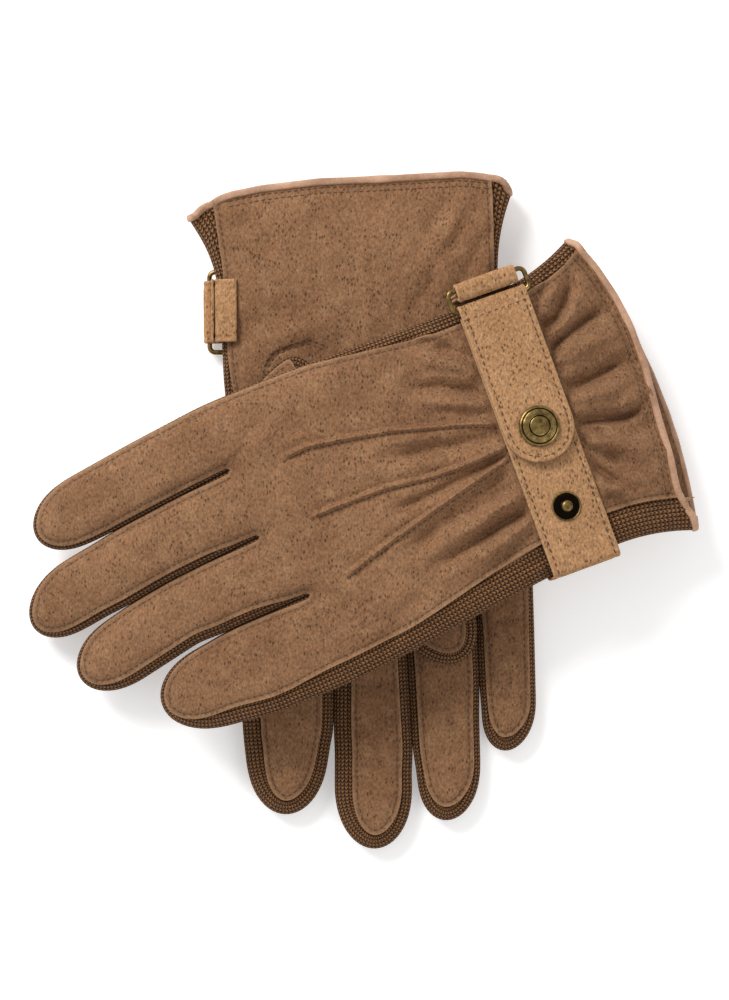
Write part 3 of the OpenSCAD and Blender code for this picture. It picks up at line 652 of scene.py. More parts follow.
        # the whole panel's normals, and a square cut edge
        up_n = turn_normals(h, normal[used])
        loops = np.zeros((len(obj.data.loops), 3))
        for poly in obj.data.polygons:
            for li in poly.loop_indices:
                v = obj.data.loops[li].vertex_index
                if len(poly.vertices) == 4:
                    loops[li] = poly.normal
                else:
                    loops[li] = up_n[v] if v < m else -up_n[v - m]
        obj.data.normals_split_custom_set([tuple(q) for q in loops])
        both = np.r_[inset[used], inset[used]]
        # the edge's paler band is partly wear and partly painted highlight where the panel rolls over; the dark band
        # along the stitching is painted shade in its groove
        mark(obj, "worn_and_lit_edge", np.exp(-(both / 0.7) ** 2))
        mark(obj, "seam_groove_shade", np.exp(-((both - 1.7) / 0.6) ** 2))
        pieces[int(g)] = obj
        flat = xy[used] - xy[used].mean(0)
        cut = xy[used[f]]
    return pieces


# %% The panels of both gloves
PANELS = {}
for h in (LEFT, RIGHT):
    for side, word in ((BACK, "back"), (PALM, "palm")):
        seen = (h, side) in ((LEFT, BACK), (RIGHT, PALM))

        def called(g, h=h, word=word):
            return f"{HANDS[h]}_suede_{word}" if g < 0 else f"{HANDS[h]}_{FINGERS[g]}_suede_{word}"
        PANELS[h, side] = panel(h, side, LINES[h], height / 2, 1.7 if seen else 2.6, called)
        print(called(-1), "and tips:", sum(len(o.data.polygons) for o in PANELS[h, side].values()), "faces")

# %% The thumbs' suede
for h in (LEFT, RIGHT):
    for side, word in ((BACK, "inner"), (PALM, "outer")):
        def called(g, h=h, word=word):
            return f"{HANDS[h]}_thumb_{word}_suede"
        PANELS[h, side, "thumb"] = panel(h, side, THUMB, thumb_mid, 1.9, called, hand=False)
print("thumb panels:", [len(PANELS[h, s, "thumb"][-1].data.polygons) for h in (0, 1) for s in (0, 1)])

# %% [markdown]
# ## Ribbed knit between the panels
# The side walls, the strips between the fingers and the ends of the fingertips are one ribbed wool
# knit. Its ribs run along each strip and round the fingertips, so the mesh is a grid of stations along
# the outline by steps across it, and the ribs are real waves in it. It goes in under the suede's edge on
# both sides. Its map counts centimetres along and across, and the knit's stitches are drawn on that.

# %% Knit walls
rib = 1.6                # from one rib to the next
COLUMNS = 70


def knit(h, line, mid, hand=True):
    """Points (stations, columns, 3) of the knit's outer face, their normals, and the map."""
    p, n, w = line["p"], line["n"], line["w"]
    radius, high = line["R"], line["H"] / 2 - 0.95
    phi = np.linspace(0, math.pi / 2, 200)
    td, tz = radius * (1 - np.cos(phi)), high * np.sin(phi)
    ts = np.r_[0, np.cumsum(np.hypot(np.diff(td), np.diff(tz)))]
    td, tz, ts = np.r_[td, td[-1] + 30], np.r_[tz, high], np.r_[ts, ts[-1] + 30]
    reach = [np.interp(w[:, k] + 1.5, td, ts) for k in (BACK, PALM)]
    k = np.linspace(0, 1, COLUMNS + 1)
    s = reach[0][:, None] * (1 - k) - reach[1][:, None] * k
    d, z = np.interp(abs(s), ts, td), np.interp(abs(s), ts, tz)
    xy = p[:, None] + n[:, None] * d[..., None]
    if hand:
        lean = np.clip(1 - xy[..., 1] / 14, 0, 1) * np.clip(d / 2, 0, 1)
        hem = np.where(s > 0, hem_y(h, BACK, xy[..., 0]), hem_y(h, PALM, xy[..., 0]))
        xy[..., 1] += lean * hem
        steps = np.minimum(np.arange(len(p)), np.arange(len(p))[::-1])[:, None]
        xy[..., 1] = np.maximum(xy[..., 1], hem * np.clip(d / 2, 0, 1) + 0.1 + 0.05 * steps)
    flat = xy.reshape(-1, 2)
    more = [relief(h, side, flat, hand).reshape(d.shape) for side in (BACK, PALM)]
    up = s > 0
    z = z + np.where(up, more[0], more[1]) * np.clip(d / 3, 0, 1)
    place_z = back_z(h, xy[..., 1]) - depth(mid, xy) + np.where(up, z, -z)
    if h == RIGHT and hand:
        place_z = np.minimum(place_z, np.interp(xy[..., 1], [64, 74], [99, 0.0]))
    base = np.dstack([xy, place_z])

    def normals(q):
        du = np.roll(q, -1, 0) - np.roll(q, 1, 0) if not hand else np.gradient(q, axis=0)
        m = np.cross(np.gradient(q, axis=1), du)
        return m / np.maximum(np.linalg.norm(m, axis=2), 1e-9)[..., None]
    nb = normals(base)
    if (nb[:, COLUMNS // 2, :2] * n).sum() > 0:
        nb = -nb
    edge = np.where(up, w[:, :1], w[:, 1:])
    bare = np.clip((edge - d) / 0.8, 0, 1)
    wave = 0.3 * (np.abs(np.cos(math.pi * s / rib)) ** 0.7 - 0.5) * bare - 0.25 * (1 - bare)
    out = base + nb * wave[..., None]
    no = normals(out)
    if (no[:, COLUMNS // 2, :2] * n).sum() > 0:
        no = -no
    along = np.r_[0, np.cumsum(np.linalg.norm(np.diff(p, axis=0), axis=1))]
    return out, no, base - nb * 1.25, np.dstack([np.broadcast_to(along[:, None], s.shape), s])


def wall(h, name, grid, first, last, closed=False):
    """One piece of the knit, from station first to station last."""
    out, no, inner, uv = grid
    rows = list(range(first, last + 1))
    if closed:
        rows = list(range(len(out)))
    few = list(range(0, COLUMNS + 1, 7))
    a, b, m = COLUMNS + 1, len(few), len(rows)
    verts = np.vstack([out[rows].reshape(-1, 3), inner[rows][:, few].reshape(-1, 3)])
    faces, low = [], m * a
    steps = m if closed else m - 1
    for i in range(steps):
        j = (i + 1) % m
        faces += [(i * a + c, j * a + c, j * a + c + 1, i * a + c + 1) for c in range(COLUMNS)]
        e, f = low + i * b, low + j * b
        faces += [(e + c, e + c + 1, f + c + 1, f + c) for c in range(b - 1)]
        faces.append((i * a, low + i * b, low + j * b, j * a))
        faces.append((i * a + COLUMNS, j * a + COLUMNS, low + j * b + b - 1, low + i * b + b - 1))
    if not closed:
        faces.append(tuple(range(COLUMNS + 1)) + tuple(low + b - 1 - c for c in range(b)))
        e, f = (m - 1) * a, low + (m - 1) * b
        faces.append(tuple(e + COLUMNS - c for c in range(COLUMNS + 1)) + tuple(f + c for c in range(b)))
    probe = np.array([verts[i] for i in faces[COLUMNS // 2][:3]])
    turned = np.dot(np.cross(probe[1] - probe[0], probe[2] - probe[0]), no[rows[0], COLUMNS // 2]) < 0
    obj = make_mesh(name, place(h, verts), faces, turned != (h == RIGHT))
    layer = obj.data.uv_layers.new(name="UVMap")
    uvs = np.vstack([uv[rows].reshape(-1, 2), uv[rows][:, few].reshape(-1, 2)]) / 10
    world = turn_normals(h, no[rows].reshape(-1, 3))
    loops = np.zeros((len(obj.data.loops), 3))
    for poly in obj.data.polygons:
        for li in poly.loop_indices:
            v = obj.data.loops[li].vertex_index
            layer.data[li].uv = uvs[v]
            loops[li] = world[v] if v < low and len(poly.vertices) == 4 else poly.normal
    obj.data.normals_split_custom_set([tuple(q) for q in loops])
    return obj


WALLS = {}
for h in (LEFT, RIGHT):
    line = LINES[h]
    grid = knit(h, line, height / 2)
    own = np.full(len(line["p"]), -1)
    for i in range(4):
        at, a = finger_axis(h, i)
        own[(line["finger"] == i) & ((line["p"] - at) @ a > -SPLIT)] = i
    change = [0] + [k for k in range(1, len(own)) if own[k] != own[k - 1]] + [len(own) - 1]
    runs = [(own[a], a, b) for a, b in zip(change[:-1], change[1:])]
    names = iter(["thumb_side", "between_index_and_middle", "between_middle_and_ring", "between_ring_and_little",
                  "little_side"])
    for g, a, b in runs:
        word = f"{FINGERS[g]}_tip" if g >= 0 else next(names)
        WALLS[h, word] = wall(h, f"{HANDS[h]}_{word}_knit", grid, a, b)
    grid = knit(h, THUMB, thumb_mid, hand=False)
    WALLS[h, "thumb"] = wall(h, f"{HANDS[h]}_thumb_knit", grid, 0, 0, closed=True)
print("knit pieces:", sorted(k[1] for k in WALLS if k[0] == LEFT))

# %% [markdown]
# ## Binding and wrist elastic
# The cuff's raw edge is wrapped in a strip of smooth tan leather. It is a flattened oval swept round the
# mouth of the glove: along the back's hem, round the side wall, and back along the palm's hem, with one
# lap where the strip's ends meet. The elastic is a corrugated band inside the back at the wrist.

# %% Binding
def sweep(h, name, centre, tangent, outward, section, closed=True, scale=None):
    """Sweeps a closed section (pairs along `outward x tangent` and `outward`) along a path."""
    side = np.cross(outward, tangent)
    side /= np.linalg.norm(side, axis=1)[:, None]
    m, k = len(centre), len(section)
    scale = np.ones(m) if scale is None else scale
    ring = (centre[:, None] + side[:, None] * (section[None, :, :1] * scale[:, None, None])
            + outward[:, None] * (section[None, :, 1:] * scale[:, None, None]))
    faces = []
    for i in range(m if closed else m - 1):
        j = (i + 1) % m
        faces += [(i * k + c, i * k + (c + 1) % k, j * k + (c + 1) % k, j * k + c) for c in range(k)]
    if not closed:
        faces += [tuple(range(k))[::-1], tuple((m - 1) * k + c for c in range(k))]
    probe = ring[0]
    area = np.cross(probe[1] - probe[0], ring[1][0] - probe[0])
    turned = np.dot(area, probe[0] - probe.mean(0)) < 0
    return make_mesh(name, place(h, ring.reshape(-1, 3)), faces, turned != (h == RIGHT))


def even(path, step):
    """Points a fixed step apart along a path."""
    seg = np.linalg.norm(np.diff(path, axis=0), axis=1)
    s = np.r_[0, np.cumsum(seg)]
    u = np.linspace(0, s[-1], max(2, int(round(s[-1] / step)) + 1))
    return np.stack([np.interp(u, s, path[:, k]) for k in range(path.shape[1])], 1)


def mouth(h):
    """The closed line of the cuff's edge, and which way is outwards."""
    line, parts = LINES[h], []
    edge = [line["p"] + line["n"] * line["w"][:, k, None] for k in (BACK, PALM)]
    for side in (BACK, PALM):
        xs = np.linspace(edge[side][0][0], edge[side][-1][0], 90)
        xy = np.stack([xs, hem_y(h, side, xs)], 1)
        z = surface(h, side, line, xy, height / 2) - (0.5 if side == BACK else -0.5)
        at = np.column_stack([xy, z])
        way = np.tile([0, 0, 1.0 if side == BACK else -1.0], (len(at), 1))
        parts.append((at, way))
    grid = knit(h, line, height / 2)
    sections = []
    for k in (0, -1):
        s = grid[2][k][8:-8:3] + grid[1][k][8:-8:3] * 0.8
        sections.append((s, grid[1][k][8:-8:3] * [1, 0, 1]))
    # thumb corner -> back hem -> little corner -> palm hem -> thumb corner
    loop = [parts[0], sections[1]] + [(at[::-1], way[::-1]) for at, way in (parts[1], sections[0])]
    at, way = np.vstack([q[0] for q in loop]), np.vstack([q[1] for q in loop])
    both = even(np.hstack([np.vstack([at, at[:1]]), np.vstack([way, way[:1]]) * 0.001]), 1.0)[:-1]
    at, way = both[:, :3], both[:, 3:]
    for _ in range(6):
        at = (np.roll(at, 1, 0) + 2 * at + np.roll(at, -1, 0)) / 4
        way = (np.roll(way, 1, 0) + 2 * way + np.roll(way, -1, 0)) / 4
    t = np.roll(at, -1, 0) - np.roll(at, 1, 0)
    t /= np.linalg.norm(t, axis=1)[:, None]
    way -= t * (way * t).sum(1)[:, None]
    way /= np.linalg.norm(way, axis=1)[:, None]
    return at, t, way


angles = np.linspace(0, 2 * math.pi, 25)[:-1]
oval = np.stack([np.sign(np.cos(angles)) * 1.35 * np.abs(np.cos(angles)) ** 0.7,
                 np.sign(np.sin(angles)) * 1.2 * np.abs(np.sin(angles)) ** 0.8], 1)
BINDING = {}
for h in (LEFT, RIGHT):
    at, t, way = mouth(h)
    k = np.arange(len(at))
    lap = 0.13 * np.clip(1 - abs(k - len(at) * (0.62 if h == LEFT else 0.68)) / 4, 0, 1) ** 0.3
    uneven = np.array([0.05 * noise.noise(Vector((a / 9.0, h, 3))) for a in k])
    at = at + np.array([0, 0.7, 0])
    BINDING[h] = sweep(h, f"{HANDS[h]}_cuff_binding_leather", at, t, way, oval, scale=1 + lap + uneven)
    print(HANDS[h], "binding:", round(float(np.linalg.norm(np.diff(at, axis=0), axis=1).sum())), "mm round")

# %% Wrist elastic
ELASTIC = {}
for h in (LEFT, RIGHT):
    x = np.linspace(33, -33, 166)
    z = back_z(h, np.full(166, wrist_y)) - leather - 1.2 + 0.12 * np.sin(x * math.pi / 0.8) - 0.7
    at = np.column_stack([x, np.full(166, wrist_y), z])
    t, way = np.tile([-1.0, 0, 0], (166, 1)), np.tile([0, 0, 1.0], (166, 1))
    wide = [3.9, 2, 0, -2, -3.9]
    band = np.array([(a, 0.35) for a in wide] + [(-a, -0.35) for a in wide])
    ELASTIC[h] = sweep(h, f"{HANDS[h]}_wrist_elastic_band", at, t, way, band, closed=False)

# %% [markdown]
# ## Strap, tab, keeper and wire loop
# The strap is cut from the same suede. It comes round from the palm and lies across the back. The tab
# turns on the loop's near bar and comes back over the strap, and the keeper holds the far bar. Each is
# a strip with rounded edges and a stitched dent swept along its own line, in a frame on the wrist.

# %% The strap's frame and the strips
bar_z = 0.4 + strap_thick + 0.15 + wire / 2
fold_mid = wire / 2 + 0.15 + strap_thick / 2
leg_x = wrist_half + 2.2
far_x = leg_x + strap_thick + wire / 2 + 0.15 + strap_thick
near_x = far_x - loop_pitch
tab_z = bar_z + fold_mid
tab_top = tab_z + strap_thick / 2


def strap_point(h, q):
    """Points in the strap's own frame to the glove's frame."""
    q = np.asarray(q, float).reshape(-1, 3)
    (y0, z0), (y1, z1) = PROFILE[h][1], PROFILE[h][2]
    slope = math.atan2(z1 - z0, y1 - y0)
    c, s = math.cos(strap_tilt), math.sin(strap_tilt)
    x, y = c * q[:, 0] - s * q[:, 1], s * q[:, 0] + c * q[:, 1]
    base = z0 + (z1 - z0) * (strap_y - y0) / (y1 - y0)
    c, s = math.cos(slope), math.sin(slope)
    return np.column_stack([x, strap_y + c * y - s * q[:, 2], base + s * y + c * q[:, 2]])


def arc(cx, cz, r, a0, a1, n=12):
    """Points on part of a circle in the strap's x and z, from one angle to another in degrees."""
    turn = np.radians(np.linspace(a0, a1, n))
    return [(cx + r * math.cos(a), cz + r * math.sin(a)) for a in turn]


def strip(h, name, path, width, half=None, seed=0, wave=0.12):
    """A suede strip along a path of (x, z), with rounded edges and a dent where it is stitched."""
    path = even(np.array(path, float), 0.9)
    t = np.gradient(path, axis=0)
    t /= np.linalg.norm(t, axis=1)[:, None]
    up = np.stack([-t[:, 1], t[:, 0]], 1)
    m = len(path)
    half = np.full(m, width / 2) if half is None else half(path)
    ys = np.concatenate([np.linspace(-1, -0.8, 9)[:-1], np.linspace(-0.8, 0.8, 17), np.linspace(0.8, 1, 9)[1:]])
    k = len(ys)
    rings = np.zeros((m, 2 * k, 3))
    for i in range(m):
        y = ys * half[i]
        rim = half[i] - np.abs(y)
        thick = strap_thick / 2 * np.sqrt(np.clip(1 - (1 - np.clip(rim / 0.55, 0, 1)) ** 2, 0.02, 1))
        dent = 0.22 * np.exp(-((rim - 2.0) / 0.7) ** 2)
        swell = np.array([wave * noise.noise(Vector((path[i][0] / 9, path[i][1] / 9, q / 8 + seed))) for q in y])
        for row, sign in ((slice(0, k), 1), (slice(k, 2 * k), -1)):
            off = sign * (thick - dent) + swell
            pts = np.column_stack([path[i][0] + up[i][0] * off, y, path[i][1] + up[i][1] * off])
            rings[i, row] = pts if sign > 0 else pts[::-1]
    faces = []
    n2 = 2 * k
    for i in range(m - 1):
        a, b = i * n2, (i + 1) * n2
        faces += [(a + c, b + c, b + (c + 1) % n2, a + (c + 1) % n2) for c in range(n2)]
    faces += [tuple(range(n2)), tuple((m - 1) * n2 + c for c in range(n2))[::-1]]
    a, b, c = rings[m // 2][k // 2], rings[m // 2 + 1][k // 2], rings[m // 2][k // 2 + 1]
    facing = np.cross(b - a, c - a) @ np.array([up[m // 2][0], 0, up[m // 2][1]])
    obj = make_mesh(name, place(h, strap_point(h, rings.reshape(-1, 3))), faces, (facing < 0) != (h == RIGHT))
    rim = np.concatenate([np.concatenate([half[i] - np.abs(ys * half[i])] * 2) for i in range(m)])
    # the strip's edges are painted paler, partly as wear and partly as painted highlight
    mark(obj, "worn_and_lit_edge", np.exp(-(rim / 0.5) ** 2))
    return obj


low = -height - strap_thick / 2
STRAPS = {}
strap_end = near_x - math.sqrt((fold_mid + strap_thick / 2) ** 2 - (fold_mid - strap_thick / 2) ** 2) - clear
tab_round = strap_width / 2


def tab_half(path):
    return np.array([math.sqrt(max(0.3, tab_round ** 2 - min(0, x) ** 2)) for x in path[:, 0]])


for h in (LEFT, RIGHT):
    lx = leg_x + strap_thick / 2
    path = ([(strap_end, 1.0)] + arc(1.6 - lx, 1.0 - 1.6, 1.6, 90, 180)
            + arc(1.6 - lx, low + 1.6, 1.6, 180, 270) + [(7 - leg_x, low)])
    STRAPS[h, "strap"] = strip(h, f"{HANDS[h]}_wrist_strap", path, strap_width, seed=1)
    start = [(x, tab_z) for x in (-tab_round + 0.02, -12.9, -12.7, -12.4, -12, -11.4, -10.6, -9.6, -8)]
    STRAPS[h, "tab"] = strip(h, f"{HANDS[h]}_strap_tab_suede", start + arc(near_x, bar_z, fold_mid, 90, -90, 14)
                             + [(near_x - 1.2, 1.0)], strap_width, tab_half, seed=5, wave=0.2)
    STRAPS[h, "keeper"] = strip(h, f"{HANDS[h]}_loop_keeper_suede",
                                [(leg_x - 7, low), (lx - 1.5, low)] + arc(lx - 1.2, low + 1.2, 1.2, -80, 0, 5)
                                + [(lx - 0.2, 0.6), (lx - 0.9, 2.0)] + arc(lx - 0.15, bar_z + 0.45, 1.2, 185, 95, 6)
                                + arc(far_x, bar_z, fold_mid, 85, -140, 14)
                                + [(lx + strap_thick + 0.05, 0), (lx + strap_thick + 0.05, low)], 23.0, seed=9)
print("strap strips:", len(STRAPS))

# %% [markdown]
# ## Metal
# The loop is drawn wire bent to a rounded rectangle. The cap of the press stud is a stamped dome with
# pressed rings, and its beads are placed by a small tree of geometry nodes. The stud is a turned cup
# with a ball in it. Anything turned is a profile spun round its axis, closed at both ends.

# %% Loop, cap and studs
def turned(h, name, profile, centre, steps=56, hollows=()):
    """A closed profile of (radius, z) spun round a centre in the strap's frame."""
    profile = np.array(profile, float)
    a = np.linspace(0, 2 * math.pi, steps + 1)[:-1]
    verts, faces, index = [], [], []
    for r, z in profile:
        if r < 1e-6:
            index.append([len(verts)] * steps)
            verts.append((0, 0, z))
        else:
            index.append(list(range(len(verts), len(verts) + steps)))
            verts += [(r * math.cos(q), r * math.sin(q), z) for q in a]
    for i in range(len(profile) - 1):
        for c in range(steps):
            d = (c + 1) % steps
            f = [index[i][c], index[i][d], index[i + 1][d], index[i + 1][c]]
            f = [v for k, v in enumerate(f) if v != f[k - 1]]
            if len(f) > 2:
                faces.append(tuple(f))
    v = np.array(verts) + np.array(centre)
    obj = make_mesh(name, place(h, strap_point(h, v)), faces, h == RIGHT)
    radius, z = np.hypot(*np.array(verts)[:, :2].T), np.array(verts)[:, 2]
    dark = np.zeros(len(verts))
    for low_r, high_r, low_z, high_z in hollows:
        dark = np.maximum(dark, (radius > low_r) & (radius < high_r) & (z > low_z) & (z < high_z))
    mark(obj, "hollow", dark)
    return obj


def rounded(profile, rounds=2):
    """Cuts the corners of a profile, keeping its ends."""
    p = np.array(profile, float)
    for _ in range(rounds):
        q = [p[0]]
        for a, b in zip(p[:-1], p[1:]):
            q += [a * 0.75 + b * 0.25, a * 0.25 + b * 0.75]
        p = np.array(q + [p[-1]])
    return p


METAL = {}
half_y = strap_width / 2 + wire
for h in (LEFT, RIGHT):
    corner = []
    for sx, sy, a0 in ((1, 1, 0), (-1, 1, 90), (-1, -1, 180), (1, -1, 270)):
        for a in np.radians(np.linspace(a0, a0 + 90, 8)):
            corner.append((near_x + loop_pitch / 2 + sx * (loop_pitch / 2 - 2) + 2 * math.cos(a),
                           sy * (half_y - 2) + 2 * math.sin(a), bar_z))
    path = even(np.array(corner + corner[:1]), 0.8)[:-1]
    t = np.roll(path, -1, 0) - np.roll(path, 1, 0)
    t /= np.linalg.norm(t, axis=1)[:, None]
    here = strap_point(h, path)
    there = strap_point(h, path + t) - here
    up = strap_point(h, path + [0, 0, 1]) - here
    circle = np.stack([np.cos(angles[::2]), np.sin(angles[::2])], 1) * wire / 2
    METAL[h, "loop"] = sweep(h, f"{HANDS[h]}_wire_loop", here, there, up, circle)
    dome = [(0, -0.3), (2.3, -0.3), (2.3, -strap_thick), (2.85, -strap_thick), (2.85, 0),
            (7.0, 0.0), (7.45, 0.35), (7.5, 0.8),
            (7.2, 1.25), (6.75, 1.5), (6.45, 1.28), (6.2, 1.35), (5.9, 1.62), (5.0, 1.78), (4.1, 1.9), (3.85, 1.72),
            (3.6, 1.72), (3.4, 1.95), (2.4, 2.04), (1.2, 2.09), (0, 2.1)]
    METAL[h, "cap"] = turned(h, f"{HANDS[h]}_snap_cap_dome",
                             dome[:5] + list(map(tuple, rounded(dome[5:]))), (0, 0, tab_top),
                             hollows=[(3.5, 3.95, 1.6, 1.85), (6.1, 6.6, 1.2, 1.4)])
    for k, x in enumerate((0, -stud_pitch)):
        cup = [(0, -1.6), (4, -1.6), (4, -1.2), (1.2, -1.2), (1.2, 0),
               (5.4, 0.0), (5.45, 0.4), (5.2, 0.62), (4.9, 0.55),
               (4.6, 0.2), (3.2, 0.12), (1.9, 0.2), (1.75, 0.9), (1.8, 1.3), (2.1, 1.75), (2.05, 2.3), (1.6, 2.75),
               (0.9, 2.9), (0, 2.92)]
        METAL[h, "stud", k] = turned(h, f"{HANDS[h]}_stud_{k + 1}", cup[:5] + list(map(tuple, rounded(cup[5:]))),
                                     (x, 0, 0.4 + strap_thick), 40, [(1.85, 4.72, 0.1, 0.45)])
print("metal pieces:", len(METAL))

# %% [markdown]
# ## A helper for nodes, and thread from geometry nodes
# `add` makes one node with its values and its links, for geometry and for materials alike. The thread
# is hundreds of short stitches that follow a line, which is what geometry nodes do well: the line is
# resampled at the stitch's pitch, and one small bead of thread is laid along the line at each point.

# %% One helper for every node
MATH, MIX, NOISE, RANGE = "ShaderNodeMath", "ShaderNodeMix", "ShaderNodeTexNoise", "ShaderNodeMapRange"
MAPPING, BUMP = "ShaderNodeMapping", "ShaderNodeBump"
SKIN, OUT = "ShaderNodeBsdfPrincipled", "ShaderNodeOutputMaterial"


def add(tree, kind, values=None):
    """Adds a node. A value that is a node or a socket is linked in, and any other is set."""
    node = tree.nodes.new(kind)
    for key, value in (values or {}).items():
        if isinstance(value, bpy.types.Node):
            value = value.outputs[2 if value.bl_idname == MIX else 0]
        if isinstance(value, bpy.types.NodeSocket):
            tree.links.new(value, node.inputs[key])
        elif isinstance(key, int) or key in node.inputs:
            node.inputs[key].default_value = value
        else:
            setattr(node, key, value)
    return node


def shade(code):
    """An sRGB hex colour as linear RGBA."""
    parts = [int(code[k:k + 2], 16) / 255 for k in (1, 3, 5)]
    return tuple(c / 12.92 if c <= 0.04045 else ((c + 0.055) / 1.055) ** 2.4 for c in parts) + (1.0,)


# %% A tree that sews
def new_tree(name, sizes):
    tree = bpy.data.node_groups.new(name, "GeometryNodeTree")
    tree.interface.new_socket("Geometry", in_out="INPUT", socket_type="NodeSocketGeometry")
    ids = {}
    for label, kind, value in sizes:
        socket = tree.interface.new_socket(label, in_out="INPUT", socket_type="NodeSocket" + kind)
        if value is not None:
            socket.default_value = value
        ids[label] = socket.identifier
    tree.interface.new_socket("Geometry", in_out="OUTPUT", socket_type="NodeSocketGeometry")
    return tree, ids, add(tree, "NodeGroupInput"), add(tree, "NodeGroupOutput")


sewing, sewing_ids, given, result = new_tree("sewing", [
    ("Pitch", "Float", 0.0026), ("Length", "Float", 0.002), ("Thickness", "Float", 0.0006),
    ("Thread", "Material", None)])
size = {label: given.outputs[label] for label in ("Geometry", "Pitch", "Length", "Thickness", "Thread")}
curve = add(sewing, "GeometryNodeMeshToCurve", {"Mesh": size["Geometry"]})
spots = add(sewing, "GeometryNodeResampleCurve", {"mode": "LENGTH", "Curve": curve, "Length": size["Pitch"]})
tangent = add(sewing, "GeometryNodeInputTangent")
turn = add(sewing, "FunctionNodeAlignRotationToVector", {"axis": "X", "Vector": tangent})
bead = add(sewing, "GeometryNodeMeshUVSphere", {"Segments": 7, "Rings": 5, "Radius": 0.5})
smooth = add(sewing, "GeometryNodeSetShadeSmooth", {"Geometry": bead})
shape = add(sewing, "ShaderNodeCombineXYZ", {"X": size["Length"], "Y": size["Thickness"], "Z": size["Thickness"]})
each = add(sewing, "GeometryNodeInstanceOnPoints", {
    "Points": spots, "Instance": smooth, "Rotation": turn, "Scale": shape})
real = add(sewing, "GeometryNodeRealizeInstances", {"Geometry": each})
made = add(sewing, "GeometryNodeSetMaterial", {"Geometry": real, "Material": size["Thread"]})
sewing.links.new(made.outputs[0], result.inputs["Geometry"])


def grow(obj, tree, ids, values):
    """Runs a tree on an object and returns the result as a plain mesh object with the same name."""
    mod = obj.modifiers.new("grow", "NODES")
    mod.node_group = tree
    for label, value in values.items():
        mod[ids[label]] = value
    graph = bpy.context.evaluated_depsgraph_get()
    mesh = bpy.data.meshes.new_from_object(obj.evaluated_get(graph))
    name = obj.name
    bpy.data.objects.remove(obj)
    out = bpy.data.objects.new(name, mesh)
    bpy.context.scene.collection.objects.link(out)
    return out


def lines_object(name, lines):
    """Several open lines of points, in metres, as one mesh of edges."""
    verts, edges = [], []
    for line in lines:
        edges += [(len(verts) + k, len(verts) + k + 1) for k in range(len(line) - 1)]
        verts += [tuple(p) for p in line]
    mesh = bpy.data.meshes.new(name)
    mesh.from_pydata(verts, edges, [])
    obj = bpy.data.objects.new(name, mesh)
    bpy.context.scene.collection.objects.link(obj)
    return obj


# %% [markdown]
# ## Materials
# Pigskin suede is the flesh side of pigskin, brushed to a short nap: no gloss, a soft sheen at grazing
# angles, cloudy colour where the nap lies differently, and small dark pores. The knit is brown wool,
# so its stitches are drawn from the knit's map: two legs of a V in each stitch, and painted shade
# between ribs and stitches. The metal is brass that was darkened and then rubbed, so its hollows stay brown.

# %% Suede
def material(name):
    mat = bpy.data.materials.new(name)
    mat.use_nodes = True
    mat.node_tree.nodes.clear()
    return mat, mat.node_tree, add(mat.node_tree, "ShaderNodeTexCoord").outputs["Object"]


